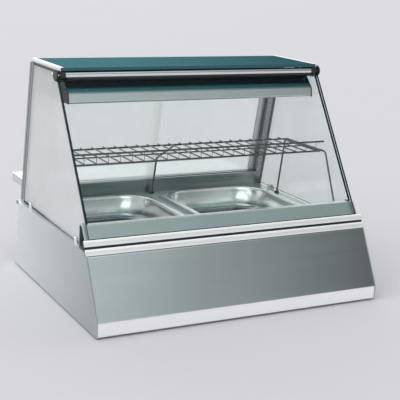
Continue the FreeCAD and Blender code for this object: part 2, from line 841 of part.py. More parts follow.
def hub():
    """The black hinge block at a top front corner."""
    x1 = pane_outside - glass - hub_gap
    x0 = x1 - hub_width
    nose = hub_nose
    top = top_glass_under
    low = hinge[1] - nose
    body = block(x0, x1, hinge[0], hinge[0] + hub_reach, low, top)
    round_nose = rod(nose, (x0, *hinge), (x1, *hinge))
    cheek = block(x0, x1, hinge[0] - nose * 0.4, hinge[0] + 1, hinge[1], top)
    shape = keep_between(join([body, round_nose, cheek]), low, top)
    back = [e for e in shape.Edges if abs(e.CenterOfMass.y - hinge[0] - hub_reach) < 1e-3
            and abs(e.CenterOfMass.z - low) < 1e-3]
    shape = shape.makeFillet(5.0, back)
    bore = rod(pin_radius + pin_fit, (x0 - 1, *hinge), (x1 + 1, *hinge))
    return shape.cut(bore)


def hinge_block_fixings():
    """A screw through a side pane into its hinge block."""
    return [((pane_outside, hinge[0] + hub_reach - hub_screw, hinge[1]), (-1, 0, 0), glass)]


def tube_half():
    return pane_outside - glass - hub_gap - hub_width - tube_end_gap


def hinge_tube():
    """The chrome tube that grips the top edge of the front glass."""
    reach = tube_half()
    tube = rod(tube_radius, (-reach, *hinge), (reach, *hinge))
    bore = rod(tube_radius - tube_wall, (-reach - 1, *hinge), (reach + 1, *hinge))
    ends = [rod(tube_radius - tube_wall, (side * reach, *hinge), (side * (reach - tube_plug), *hinge))
            for side in (-1, 1)]
    tube = join([tube.cut(bore)] + ends)
    depth = tube_radius + 2.0
    run = glass_run_to_hinge
    slot = plate([on_glass(run - depth, 0.1), on_glass(run + tube_radius - tube_grip, 0.1),
                  on_glass(run + tube_radius - tube_grip, -glass - 0.1),
                  on_glass(run - depth, -glass - 0.1)], -reach - 1, reach + 1)
    return tube.cut(slot)


def front_glass():
    """The lift-up front pane; its top corners clear the hinge blocks."""
    run = glass_run_to_hinge
    top = run + tube_radius - tube_grip - 0.5
    pane = plate([on_glass(0, 0), on_glass(top, 0), on_glass(top, -glass), on_glass(0, -glass)],
                 -glass_half, glass_half)
    clear = 15.0
    shoulder = run - clear
    reach = tube_half() - 2.0
    corner = plate([on_glass(shoulder, 1), on_glass(top + 1, 1),
                    on_glass(top + 1, -glass - 1), on_glass(shoulder, -glass - 1)],
                   reach, glass_half + 1)
    return pane.cut(corner).cut(mirror(corner))


def glass_seal():
    """Black sealing strips either side of the glass, along the mouth of the tube."""
    run = glass_run_to_hinge
    reach = tube_half() - 2.0
    strips = []
    for inner, outer in ((0.05, 1.6), (-glass - 1.6, -glass - 0.05)):
        strips.append(plate([on_glass(run - tube_radius - 4.0, inner),
                             on_glass(run - tube_radius - 0.2, inner),
                             on_glass(run - tube_radius - 0.2, outer),
                             on_glass(run - tube_radius - 4.0, outer)], -reach, reach))
    return group(strips)


def hinge_pin():
    """The pin from the tube through the block to the outer disc."""
    return rod(pin_radius, (tube_half(), *hinge), (pane_outside + 1.0, *hinge))


def hinge_disc():
    """The round cap on the outer end of a hinge pin."""
    start = pane_outside + 1.0
    disc = rod(disc_radius, (start, *hinge), (start + disc_width, *hinge))
    rim = [e for e in disc.Edges if abs(e.CenterOfMass.x - start - disc_width) < 1e-3
           and len(e.Vertexes) == 1]
    return disc.makeFillet(1.5, rim)


# ------------------------------------------------------------------ rear frame
def rear_box(x0, x1, d0, d1, h0, h1):
    """A box on the rear plane: depth d behind it, height h along it."""
    return block(x0, x1, base_depth + d0, base_depth + d1, h0, h1)


def rear_post():
    """A hollow post, sawn level at the ledge and under the top glass."""
    tall = along_rear(top_height) + 40.0
    x0 = post_inside
    x1 = x0 + post_width
    tube = rear_box(x0, x1, 0, frame_depth, 0, tall)
    core = rear_box(x0 + post_wall, x1 - post_wall, post_wall, frame_depth - post_wall, -1, tall + 1)
    groove = rear_box(x1 - 1.0, x1 + 1, frame_depth / 2.0 - 3, frame_depth / 2.0 + 3, -1, tall + 1)
    post = lean_rear(tube.cut(core).cut(groove))
    return keep_between(post, ledge_top, top_glass_under)


lower_rail_h = along_rear(lower_rail_height)
upper_rail_h = along_rear(upper_rail_height)
rail_half = post_inside - panel_gap


def track_slots(h0, h1):
    """Two parallel grooves for the sliding doors."""
    slots = []
    for index in (0, 1):
        d = track_first + index * track_pitch
        slots.append(rear_box(-rail_half - 1, rail_half + 1, d, d + door_glass + 2 * door_play,
                              h0, h1))
    return slots


def lower_rail():
    """The hollow lower rail with the door tracks in its top."""
    rail = rear_box(-rail_half, rail_half, 0, frame_depth, 0, lower_rail_h)
    rail = rail.cut(track_slots(lower_rail_h - track_lower, lower_rail_h + 1))
    floor = lower_rail_h - track_lower - post_wall
    core = rear_box(-rail_half - 1, rail_half + 1, post_wall, frame_depth - post_wall, -1, floor)
    return keep_between(lean_rear(rail.cut(core)), ledge_top, top_glass_under)


def upper_rail():
    """The upper rail with deeper door tracks in its underside."""
    tall = along_rear(top_height) + 40.0
    rail = rear_box(-rail_half, rail_half, 0, frame_depth, upper_rail_h, tall)
    rail = rail.cut(track_slots(upper_rail_h - 1, upper_rail_h + track_upper))
    return keep_between(lean_rear(rail), ledge_top, top_glass_under)


door_width = rail_half - door_end_gap + door_overlap / 2.0
door_travel = 2.0 * (rail_half - door_end_gap) - door_width
door_low = lower_rail_h - track_lower + door_lift_gap
door_high = upper_rail_h + track_upper - door_lift_gap - 2.0


def door_place(side):
    """First and last x of a door, and its depth; side is -1 for left, 1 for right."""
    outer = side * (rail_half - door_end_gap)
    inner = outer - side * door_width
    track = 0 if side < 0 else 1
    depth = track_first + track * track_pitch + door_play
    return min(outer, inner), max(outer, inner), depth


def door_pane(side):
    """A sliding rear door glass."""
    x0, x1, depth = door_place(side)
    pane = rear_box(x0, x1, depth, depth + door_glass, door_low, door_high)
    return lean_rear(pane)


def door_stile(side):
    """The aluminium grip along the outer upright edge of a door."""
    x0, x1, depth = door_place(side)
    edge = x0 if side < 0 else x1
    far = edge - side * stile_width
    low = lower_rail_h + 2.0
    high = upper_rail_h - 2.0
    near = edge + side * 0.8
    body = rear_box(min(near, far), max(near, far), depth - stile_wall,
                    depth + door_glass + stile_wall, low, high)
    upright = [e for e in body.Edges if abs(e.Vertexes[0].Z - e.Vertexes[-1].Z) > 50]
    body = body.makeFillet(stile_wall * 0.8, upright)
    room = rear_box(x0, x1, depth, depth + door_glass, low - 1, high + 1)
    return lean_rear(body.cut(room))


# --------------------------------------------------------------------- canopy
def canopy_outline(grow):
    """(y, z) corners of the canopy, grown outwards."""
    return [(canopy_front - grow, canopy_low), (canopy_front + canopy_lead - grow, canopy_fold),
            (canopy_slope_back - grow * 0.4, canopy_top + grow),
            (canopy_rear + grow, canopy_top + grow), (canopy_rear + grow, canopy_low)]


def canopy_shell():
    """The folded stainless hood over the lamps, open below."""
    inset = sheet / 2.0
    middle = canopy_outline(-inset)
    hem = canopy_low + inset
    points = [(canopy_front + inset + canopy_hem, hem), (canopy_front + inset, hem)]
    points += middle[1:4]
    points += [(canopy_rear - inset, hem), (canopy_rear - inset - canopy_hem, hem)]
    return bent_sheet(points, sheet, canopy_bend, -canopy_half, canopy_half)


def canopy_end():
    """The dark end cap of the canopy."""
    cap = plate(canopy_outline(canopy_cap_lip), canopy_half, canopy_half + canopy_cap)
    edges = [e for e in cap.Edges if abs(e.CenterOfMass.y - canopy_front - canopy_lead) < 3.0
             and abs(e.CenterOfMass.z - canopy_fold) < 2.0]
    edges += [e for e in cap.Edges if abs(e.CenterOfMass.y - canopy_slope_back) < 3.0
              and abs(e.CenterOfMass.z - canopy_top) < 2.0]
    upright = [e for e in edges if e.BoundBox.XLength > canopy_cap * 0.5]
    return cap.makeFillet(canopy_cap_round, upright)


def reflector():
    """The polished reflector behind the lamps."""
    reach = canopy_half - panel_gap
    top = canopy_top - sheet - 9.0
    low = canopy_low + 26.0
    points = [(canopy_front + reflector_front, low), (canopy_slope_back + reflector_head, top),
              (canopy_rear - reflector_back, top), (canopy_rear - reflector_rear, low)]
    return bent_sheet(points, reflector_sheet, reflector_bend, -reach, reach)


lamp_middle = (canopy_slope_back + canopy_rear) / 2.0 - lamp_forward
reflector_top = canopy_top - sheet - reflector_drop - reflector_sheet / 2.0
lamp_z = reflector_top - lamp_drop


def lamp_tubes():
    """Two quartz heat lamps."""
    return group([rod(lamp_radius, (-lamp_length / 2.0, lamp_middle + k * lamp_pitch / 2.0, lamp_z),
                      (lamp_length / 2.0, lamp_middle + k * lamp_pitch / 2.0, lamp_z))
                  for k in (-1, 1)])


def lamp_holders():
    """A ceramic holder at each end of each lamp."""
    pieces = []
    for k in (-1, 1):
        y = lamp_middle + k * lamp_pitch / 2.0
        start = lamp_length / 2.0 - 8.0
        body = block(start, start + holder_width, y - holder_depth / 2.0, y + holder_depth / 2.0,
                     reflector_top - holder_height, reflector_top)
        along = [e for e in body.Edges if e.BoundBox.XLength > holder_width * 0.9
                 and e.CenterOfMass.z < reflector_top - 5]
        body = body.makeFillet(holder_round, along)
        body = body.cut(rod(lamp_radius, (start - 1, y, lamp_z), (start + lamp_socket, y, lamp_z)))
        pieces += [body, mirror(body)]
    return group(pieces)


def canopy_hangers():
    """Four angle brackets from the side rails to the canopy end caps."""
    pieces = []
    t = hanger_sheet
    cap_face = canopy_half + canopy_cap
    for y in (canopy_slope_back + hanger_front, canopy_rear - hanger_rear):
        foot = block(cap_face, pane_outside - glass - 1.0, y - hanger_width / 2.0,
                     y + hanger_width / 2.0, pane_top - t, pane_top)
        leg = block(cap_face, cap_face + t, y - hanger_width / 2.0, y + hanger_width / 2.0,
                    canopy_top - hanger_leg, pane_top)
        bracket = drilled(join([foot, leg]), canopy_fixings())
        pieces += [bracket, mirror(bracket)]
    return group(pieces)


def canopy_fixings():
    """Two screws through each hanger on one side."""
    face = canopy_half + canopy_cap + hanger_sheet
    return [((face, y, canopy_top - drop), (-1, 0, 0), hanger_sheet)
            for y in (canopy_slope_back + hanger_front, canopy_rear - hanger_rear)
            for drop in hanger_screws]


# ----------------------------------------------------------------------- shelf
def shelf_rack():
    """The welded wire rack with a raised rail along its front."""
    z = shelf_height
    rail_z = z + rail_rise
    x1 = shelf_half
    wires = [rod(shelf_wire, (-x1, shelf_front, z), (x1, shelf_front, z)),
             rod(shelf_wire, (-x1, shelf_rear, z), (x1, shelf_rear, z)),
             rod(shelf_wire, (-x1 - rail_overhang, shelf_front, rail_z),
                 (x1 + rail_overhang, shelf_front, rail_z))]
    middle = (shelf_front + shelf_rear) / 2.0
    wires.append(rod(cross_wire, (-x1, middle, z - shelf_wire), (x1, middle, z - shelf_wire)))
    for side in (-1, 1):
        wires.append(rod(shelf_wire, (side * x1, shelf_front, z), (side * x1, shelf_rear, z)))
        for y in (shelf_front, shelf_rear):
            wires.append(Part.makeSphere(shelf_wire, V(side * x1, y, z)))
    lift = z + shelf_wire
    count = int((2 * x1 - 2 * rack_margin) // shelf_pitch)
    for index in range(count + 1):
        x = (index - count / 2.0) * shelf_pitch
        wires.append(rod(cross_wire, (x, shelf_front - shelf_wire, lift),
                         (x, shelf_rear + shelf_wire + cross_wire_tail, lift)))
        wires.append(Part.makeSphere(cross_wire, V(x, shelf_front - shelf_wire, lift)))
        wires.append(rod(cross_wire, (x, shelf_front - shelf_wire, lift),
                         (x, shelf_front - shelf_wire + 0.5, rail_z)))
    return join(wires)


def bent_rod(points, radius, bend):
    """A wire through (x, y, z) points with round bends."""
    spots = [V(*p) for p in points]
    edges = []
    start = spots[0]
    for index in range(1, len(spots) - 1):
        into = (spots[index] - spots[index - 1]).normalize()
        away = (spots[index + 1] - spots[index]).normalize()
        turn = into.getAngle(away)
        trim = bend * math.tan(turn / 2.0)
        a = spots[index] - into * trim
        b = spots[index] + away * trim
        inward = (away - into).normalize()
        centre = spots[index] + inward * (bend / math.cos(turn / 2.0))
        middle = centre - inward * bend
        edges.append(Part.LineSegment(start, a).toShape())
        edges.append(Part.Arc(a, middle, b).toShape())
        start = b
    edges.append(Part.LineSegment(start, spots[-1]).toShape())
    path = Part.Wire(edges)
    first = (spots[1] - spots[0]).normalize()
    ring = Part.Wire(Part.Circle(spots[0], first, radius).toShape())
    return path.makePipeShell([ring], True, False)


def level_foot(wire):
    """A support wire sawn off level where it stands on its foot."""
    return wire.common(block(-case_width, case_width, -base_depth, base_depth * 2,
                             deck_height + foot_height, top_height))


def shelf_leg():
    """An end frame: front leg, level bearer and rear leg in one bent wire."""
    x = shelf_half + leg_inset
    low = deck_height + foot_height - shelf_wire
    z = shelf_height
    return level_foot(bent_rod([(x, front_foot, low), (x, shelf_front - leg_lead, z),
                                (x, shelf_rear + leg_trail, z), (x, rear_foot, low)],
                               shelf_wire, leg_bend))


def shelf_strut():
    """The rear centre support, leaning with the rear frame and bent forward to the rack."""
    low = deck_height + foot_height - shelf_wire
    return level_foot(bent_rod([(0, strut_foot, low), (0, rear_y(strut_bend) - strut_gap, strut_bend),
                                (0, shelf_rear + shelf_wire * 2.0, shelf_height - 2.0)],
                               shelf_wire, strut_round))


def shelf_feet():
    """Dark screw-down feet under the shelf legs and the strut."""
    x = shelf_half + leg_inset
    spots = [(side * x, y, deck_height) for side in (-1, 1) for y in (front_foot, rear_foot)]
    spots.append((0, strut_foot, deck_height))
    pieces = []
    for spot in spots:
        pad = Part.makeCylinder(foot_radius, foot_height, V(*spot))
        rim = [e for e in pad.Edges if abs(e.CenterOfMass.z - spot[2] - foot_height) < 1e-3
               and len(e.Vertexes) == 1]
        pieces.append(pad.makeFillet(1.5, rim))
    return group(pieces)


# --------------------------------------------------------------- serving board
def serving_board():
    """A folded tray, turned down all round, behind the rear doors."""
    low = board_height - board_edge
    body = block(-board_half, board_half, board_front, board_front + board_depth, low, board_height)
    upright = [e for e in body.Edges if abs(e.Vertexes[0].Z - e.Vertexes[-1].Z) > 5]
    body = body.makeFillet(board_corner, upright)
    hollow = block(-board_half + sheet, board_half - sheet, board_front + sheet,
                   board_front + board_depth - sheet, low - 1, board_height - sheet)
    upright = [e for e in hollow.Edges if abs(e.Vertexes[0].Z - e.Vertexes[-1].Z) > 5]
    hollow = hollow.makeFillet(board_corner - sheet, upright)
    return drilled(body.cut(hollow), mirrored(board_fixings()))


def board_bracket():
    """A gusset from the rear panel to the board."""
    clear = rear_y(ledge_top) + ledge + 2.0
    under = board_height - sheet
    outline = [(rear_y(bracket_foot), bracket_foot), (rear_y(bracket_shoulder), bracket_shoulder),
               (clear, bracket_shoulder), (clear, under),
               (board_front + board_depth - bracket_end, under),
               (board_front + board_depth - bracket_end, under - board_edge - bracket_toe)]
    return plate(outline, bracket_place - bracket_sheet / 2.0, bracket_place + bracket_sheet / 2.0)


def board_fixings():
    """Screws down through the board into the top of one bracket."""
    return [((bracket_place, board_front + along, board_height), (0, 0, -1), sheet)
            for along in (board_screw_front, board_depth - board_screw_rear)]


# -------------------------------------------------------------------- controls
def control_plate():
    """The plain plate behind the controls, with holes for each of them."""
    x0 = control_plate_middle - control_plate_width / 2.0
    x1 = x0 + control_plate_width
    h0 = control_height - control_plate_height / 2.0 + 1.0
    h1 = control_height + control_plate_height / 2.0 + 1.0
    face = rear_box(x0, x1, 0, control_plate_sheet, h0, h1)
    corners = [e for e in face.Edges if e.BoundBox.YLength > control_plate_sheet * 0.5]
    face = face.makeFillet(plate_corner, corners)
    face = face.cut(rod(shaft_radius + shaft_clear, (knob_place, base_depth - 5, control_height),
                        (knob_place, base_depth + 5, control_height)))
    face = face.cut(rod(pilot_radius, (lamp_place, base_depth - 5, control_height),
                        (lamp_place, base_depth + 5, control_height)))
    for place in switch_places:
        face = face.cut(rear_box(place - switch_width / 2.0, place + switch_width / 2.0, -5, 5,
                                 control_height - switch_height / 2.0,
                                 control_height + switch_height / 2.0))
    return lean_rear(face)


def rear_rod(radius, x, h, d0, d1):
    """A round bar square to the rear plane."""
    return rod(radius, (x, base_depth + d0, h), (x, base_depth + d1, h))


def thermostat():
    """The thermostat body inside the panel, with its shaft."""
    body = rear_box(knob_place - thermostat_size / 2.0, knob_place + thermostat_size / 2.0,
                    -thermostat_depth, -sheet,
                    control_height - thermostat_height / 2.0,
                    control_height + thermostat_height / 2.0)
    shaft = rear_rod(shaft_radius, knob_place, control_height, -sheet - 1,
                     control_plate_sheet + knob_length * 0.6)
    return lean_rear(join([body, shaft]))


def thermostat_knob():
    """A fluted knob with a raised pointer."""
    start = control_plate_sheet + 1.0
    end = start + knob_length
    body = rear_rod(knob_radius, knob_place, control_height, start, end)
    rim = [e for e in body.Edges if abs(e.CenterOfMass.y - base_depth - end) < 1e-3
           and len(e.Vertexes) == 1]
    body = body.makeFillet(3.0, rim)
    flutes = []
    count = 12
    for index in range(count):
        angle = 2 * math.pi * index / count
        flutes.append(rear_rod(2.2, knob_place + (knob_radius + 1.0) * math.cos(angle),
                               control_height + (knob_radius + 1.0) * math.sin(angle),
                               start + 5.0, end + 1))
    body = body.cut(flutes)
    pointer = rear_box(knob_place - 1.2, knob_place + 1.2, end - 1, end + 1.2,
                       control_height + 4, control_height + knob_radius - 4)
    bore = rear_rod(shaft_radius + shaft_fit, knob_place, control_height, start - 1,
                    control_plate_sheet + knob_length * 0.6 + 0.5)
    return lean_rear(join([body, pointer]).cut(bore))


def switch_housing(place):
    """A switch body clipped into the panel, with a bezel around its mouth."""
    w = switch_width / 2.0 - 0.2
    h = switch_height / 2.0 - 0.2
    start = control_plate_sheet
    barrel = rear_box(place - w, place + w, -switch_depth, start, control_height - h, control_height + h)
    bezel = rear_box(place - w - 2, place + w + 2, start, start + switch_bezel,
                     control_height - h - 2, control_height + h + 2)
    front = [e for e in bezel.Edges if abs(e.CenterOfMass.y - base_depth - start - switch_bezel) < 1e-3]
    bezel = bezel.makeFillet(1.0, front)
    mouth = rear_box(place - w + 1.6, place + w - 1.6, start - 9.0, start + switch_bezel + 1,
                     control_height - h + 1.6, control_height + h - 1.6)
    return lean_rear(join([barrel, bezel]).cut(mouth))


def rear_rod_across(radius, x0, x1):
    """A round bar along X on the rocking axis of the switches."""
    y = base_depth + rocker_axis_depth
    return rod(radius, (x0, y, control_height), (x1, y, control_height))


rocker_tilt = 8.0
rocker_axis_depth = control_plate_sheet + 0.5


def switch_rocker(place):
    """A rocker with a shallow V face, resting with its lower half pressed in."""
    w = switch_width / 2.0 - 0.2 - 1.6 - switch_play
    h = switch_height / 2.0 - 0.2 - 1.6 - switch_play
    top = control_plate_sheet + switch_bezel + rocker_stand
    y = base_depth
    outline = [(y - 4.0, control_height - h * 0.62), (y + top - 1.5, control_height - h + 0.8),
               (y + top - 2.5, control_height), (y + top - 1.5, control_height + h - 0.8),
               (y - 4.0, control_height + h * 0.62)]
    body = plate(outline, place - w, place + w)
    body.rotate(V(place, base_depth + rocker_axis_depth, control_height), V(1, 0, 0), -rocker_tilt)
    pivot = rear_rod_across(trunnion_radius, place - w - trunnion, place + w + trunnion)
    return lean_rear(join([body, pivot]))


def pilot_lamp():
    """A round indicator lens in a bezel."""
    barrel = rear_rod(pilot_radius - pilot_play, lamp_place, control_height, -14.0, control_plate_sheet)
    bezel = rear_rod(8.0, lamp_place, control_height, control_plate_sheet,
                     control_plate_sheet + 2.0)
    lens = rear_rod(5.5, lamp_place, control_height, control_plate_sheet,
                    control_plate_sheet + 6.0)
    rim = [e for e in lens.Edges if abs(e.CenterOfMass.y - base_depth - control_plate_sheet - 6.0)
           < 1e-3 and len(e.Vertexes) == 1]
    lens = lens.makeFillet(2.5, rim)
    return lean_rear(join([barrel, bezel, lens]))


def cable_gland():
    """The cable inlet: a hexagon seat and a domed nut round an empty bore."""
    d = gland_radius
    points = [V(gland_place + d * 1.15 * math.cos(math.radians(60 * k)), base_depth,
                control_height + d * 1.15 * math.sin(math.radians(60 * k))) for k in range(6)]
    hexagon = Part.Face(Part.makePolygon(points + points[:1])).extrude(V(0, gland_nut, 0))
    barrel = rear_rod(d - gland_land - gland_play, gland_place, control_height, -12.0, 1.0)
    nut = rear_rod(d, gland_place, control_height, gland_nut, gland_reach)
    rim = [e for e in nut.Edges if abs(e.CenterOfMass.y - base_depth - gland_reach) < 1e-3
           and len(e.Vertexes) == 1]
    nut = nut.makeFillet(4.0, rim)
    bore = rear_rod(4.0, gland_place, control_height, -13.0, 21.0)
    return lean_rear(join([hexagon, barrel, nut]).cut(bore))


def terminal_block():
    """The connection block inside, behind the cable inlet."""
    body = block(gland_place - 60, gland_place - 20, opening_rear - 30, opening_rear - 8,
                 bottom_height + bottom_sheet, bottom_height + bottom_sheet + 20)
    for index in range(4):
        x = gland_place - 55 + index * 10
        body = body.cut(rod(2.6, (x, opening_rear - 19, bottom_height + bottom_sheet + 10),
                            (x, opening_rear - 19, bottom_height + bottom_sheet + 21)))
    return body


valve_start = rear_y(drain_height - valve_radius) + valve_gap
stem_top = drain_height + valve_radius + 9.0
spout_y = valve_start + valve_length - valve_radius


def drain_pipe():
    """The pipe from the well floor out through the rear panel."""
    z = drain_height
    y = opening_rear - 30
    down = rod(drain_radius, (drain_place, y, well_floor - well_wall), (drain_place, y, z))
    back = rod(drain_radius, (drain_place, y, z), (drain_place, valve_start, z))
    elbow = Part.makeSphere(drain_radius, V(drain_place, y, z))
    bore = drain_radius - 1.5
    hollow = [rod(bore, (drain_place, y, well_floor), (drain_place, y, z)),
              rod(bore, (drain_place, y, z), (drain_place, valve_start + 1, z)),
              Part.makeSphere(bore, V(drain_place, y, z))]
    return join([down, back, elbow]).cut(hollow)


def drain_valve():
    """A quarter-turn valve with a collar and a down-turned spout."""
    x = drain_place
    z = drain_height
    stem = valve_start + stem_place
    body = rod(valve_radius, (x, valve_start, z), (x, spout_y, z))
    end = Part.makeSphere(valve_radius, V(x, spout_y, z))
    collar = rod(collar_radius, (x, spout_y, z), (x, spout_y, z - collar_drop))
    spout = rod(spout_radius, (x, spout_y, z), (x, spout_y, z - collar_drop - spout_reach))
    neck = rod(6.0, (x, stem, z), (x, stem, stem_top - 3))
    spindle = rod(pin_radius - 1.0, (x, stem, z), (x, stem, stem_top + 4))
    bore = rod(5.0, (x, spout_y, z), (x, spout_y, z - collar_drop - spout_reach - 1))
    return join([body, end, collar, spout, neck, spindle]).cut(bore)


def drain_lever():
    """The flat handle of the valve, lying across it when shut."""
    y = valve_start + stem_place
    z = stem_top - 2.5
    hub_part = rod(8.0, (drain_place, y, z), (drain_place, y, z + 5))
    arm = block(drain_place, drain_place + 58, y - 5, y + 5, z + 1, z + 4)
    tip = rod(5.0, (drain_place + 58, y, z + 1), (drain_place + 58, y, z + 4))
    bore = rod(3.0 + pin_fit, (drain_place, y, z - 1), (drain_place, y, z + 6))
    return join([hub_part, arm, tip]).cut(bore)


def rear_fixings():
    """Screws along the edges of the rear panel, and into the posts below the ledge."""
    lean = math.radians(rear_lean)
    pieces = []
    for x in (half - rear_screw_side, half / 2.0 + rear_screw_offset):
        for z in rear_screw_heights:
            pieces.append(((x, rear_y(z), z), (0, -math.cos(lean), -math.sin(lean)), sheet))
    low = ledge_top - sheet
    pieces.append(((post_inside + post_width / 2.0, rear_y(ledge_top) + frame_depth / 2.0, low),
                   (0, 0, 1), sheet))
    return mirrored(pieces)


# ---------------------------------------------------------------- write it out
def both(shape):
    """A piece and its mirror image as one node."""
    return group([shape, mirror(shape)])


def screws():
    """Every fixed screw: feet, clamps, hinge blocks, canopy, board and rear panel."""
    fixings = mirrored(clamp_fixings() + hinge_block_fixings() + canopy_fixings()
                       + board_fixings())
    return group([screw(fixing) for fixing in foot_fixings() + fixings + rear_fixings()])


def build():
    os.makedirs("parts", exist_ok=True)
    for name, shape in {"side_panel": side_panel(), "side_glass": side_glass()}.items():
        export(name + "_right", shape)
        export(name + "_left", mirror(shape))
    for side, name in ((-1, "left"), (1, "right")):
        export("food_pan_" + name, pan(side))
        export("rear_door_glass_" + name, door_pane(side))
        export("rear_door_stile_" + name, door_stile(side))
    for place, name in zip(switch_places, ("light", "heat")):
        export(name + "_switch_rocker", switch_rocker(place))
    singles = {
        "front_panel": front_panel(), "rear_panel": rear_panel(), "bottom_plate": bottom_plate(),
        "rubber_feet": feet(), "trim_carrier": trim_carrier(),
        "bright_trim_bars": group([trim_bright(panel_run), trim_bright(trim_groove_end)]),
        "front_coaming": front_coaming(), "deck": deck(), "pan_divider": divider_bar(),
        "well_tank": well_tank(), "heating_element": heating_element(),
        "insulation_mat": insulation(), "glass_clamps": clamps(),
        "side_rails": both(side_rail()), "top_glass": top_pane(),
        "top_edge_trims": both(top_edge_trim()), "hinge_blocks": both(hub()),
        "hinge_tube": hinge_tube(), "hinge_pins": both(hinge_pin()),
        "hinge_discs": both(hinge_disc()), "front_glass": front_glass(),
        "front_glass_seal": glass_seal(), "rear_posts": both(rear_post()),
        "rear_lower_rail": lower_rail(), "rear_upper_rail": upper_rail(),
        "canopy_shell": canopy_shell(), "canopy_end_caps": both(canopy_end()),
        "reflector": reflector(), "heat_lamps": lamp_tubes(), "lamp_holders": lamp_holders(),
        "canopy_hangers": canopy_hangers(), "shelf_rack": shelf_rack(),
        "shelf_legs": group([shelf_leg(), mirror(shelf_leg()), shelf_strut()]),
        "shelf_feet": shelf_feet(), "serving_board": serving_board(),
        "board_brackets": both(board_bracket()), "control_plate": control_plate(),
        "thermostat": thermostat(), "thermostat_knob": thermostat_knob(),
        "switch_housings": group([switch_housing(place) for place in switch_places]),
        "pilot_lamp": pilot_lamp(), "cable_gland": cable_gland(),
        "terminal_block": terminal_block(), "drain_pipe": drain_pipe(),
        "drain_valve": drain_valve(), "drain_lever": drain_lever(), "screws": screws()}
    for name, shape in singles.items():
        export(name, shape)


build()
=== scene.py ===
import json
import math

import bmesh
import bpy
from mathutils import Matrix, Vector

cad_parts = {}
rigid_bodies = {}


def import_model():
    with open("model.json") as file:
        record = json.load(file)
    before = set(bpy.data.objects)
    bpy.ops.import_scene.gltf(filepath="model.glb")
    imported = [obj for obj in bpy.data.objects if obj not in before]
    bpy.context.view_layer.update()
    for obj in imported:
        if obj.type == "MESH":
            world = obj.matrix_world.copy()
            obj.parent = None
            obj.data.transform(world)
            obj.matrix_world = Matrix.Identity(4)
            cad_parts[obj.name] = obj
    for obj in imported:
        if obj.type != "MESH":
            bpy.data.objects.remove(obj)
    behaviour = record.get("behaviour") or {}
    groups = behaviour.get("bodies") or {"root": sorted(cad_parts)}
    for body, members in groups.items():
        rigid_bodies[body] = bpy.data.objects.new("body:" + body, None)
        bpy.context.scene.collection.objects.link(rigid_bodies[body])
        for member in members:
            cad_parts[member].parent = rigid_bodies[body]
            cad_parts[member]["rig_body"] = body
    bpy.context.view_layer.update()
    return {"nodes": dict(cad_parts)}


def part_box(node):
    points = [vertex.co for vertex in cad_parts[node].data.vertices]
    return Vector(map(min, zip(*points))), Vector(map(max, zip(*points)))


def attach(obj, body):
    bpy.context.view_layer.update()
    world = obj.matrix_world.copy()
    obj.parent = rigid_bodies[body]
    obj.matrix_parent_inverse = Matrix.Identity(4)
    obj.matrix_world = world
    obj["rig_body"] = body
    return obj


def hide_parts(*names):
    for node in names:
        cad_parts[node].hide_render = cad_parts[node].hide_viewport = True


bl_info = {
    "name": "Hot Food Display Case",
    "version": (1, 0, 0),
    "blender": (4, 5, 0),
    "location": "3D View > Sidebar > Display Case",
    "description": "Finishes and fine parts of a countertop hot food display case",
    "category": "Object",
}

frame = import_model()
MM = 0.001
WELD = 1e-6
FLAT_ANGLE = 0.5
SMOOTH_ANGLE = 32.0


# ------------------------------------------------------------ shader building
class Value:
    """A number socket: an expression on it adds the Math nodes that work it out."""

    def __init__(self, paint, socket):
        self.paint = paint
        self.socket = socket

    def math(self, operation, *others):
        return self.paint.node("ShaderNodeMath", {"operation": operation}, [self, *others])

    def __add__(self, other):
        return self.math("ADD", other)

    def __mul__(self, other):
        return self.math("MULTIPLY", other)

    def __sub__(self, other):
        return self.math("SUBTRACT", other)

    def __rsub__(self, other):
        return self.paint.node("ShaderNodeMath", {"operation": "SUBTRACT"}, [other, self])

    __radd__ = __add__
    __rmul__ = __mul__

    def clamped(self, low, high):
        return self.math("MAXIMUM", low).math("MINIMUM", high)


class Paint:
    """A material that is built node by node."""

    def __init__(self, name):
        self.material = bpy.data.materials.new(name)
        self.material.use_nodes = True
        self.tree = self.material.node_tree
        self.tree.nodes.clear()
        self.output = self.tree.nodes.new("ShaderNodeOutputMaterial")

    def node(self, kind, settings=None, sockets=None, out=0):
        """One node: its settings first, then its sockets by number or by name."""
        made = self.tree.nodes.new(kind)
        for name, value in (settings or {}).items():
            if name == "stops":
                ramp = made.color_ramp
                while len(ramp.elements) < len(value):
                    ramp.elements.new(0.5)
                for element, (place, colour) in zip(ramp.elements, value):
                    element.position = place
                    element.color = colour
            else:
                setattr(made, name, value)
        pairs = sockets.items() if isinstance(sockets, dict) else enumerate(sockets or [])
        for name, value in pairs:
            if isinstance(value, Value):
                self.tree.links.new(value.socket, made.inputs[name])
            elif value is not None:
                made.inputs[name].default_value = value
        return Value(self, made.outputs[out])

    def place(self):
        return self.node("ShaderNodeTexCoord", out=3)

    def stretched(self, scale):
        return self.node("ShaderNodeMapping", None, {"Vector": self.place(), "Scale": scale})

    def noise(self, scale, detail=2.0, rough=0.5, stretch=None):
        vector = self.stretched(stretch) if stretch else self.place()
        return self.node("ShaderNodeTexNoise", {"noise_dimensions": "3D"},
                         {"Vector": vector, "Scale": scale, "Detail": detail,
                          "Roughness": rough})

    def blend(self, share, first, second):
        return self.node("ShaderNodeMix", {"data_type": "RGBA"},
                         {0: share, 6: first, 7: second}, out=2)

    def bump(self, height, distance, strength=1.0):
        return self.node("ShaderNodeBump", None,
                         {"Strength": strength, "Distance": distance, "Height": height})

    def principled(self, **sockets):
        named = {name.replace("_", " "): value for name, value in sockets.items()}
        return self.node("ShaderNodeBsdfPrincipled", None, named)

    def finish(self, shader):
        self.tree.links.new(shader.socket, self.output.inputs["Surface"])
        return self.material


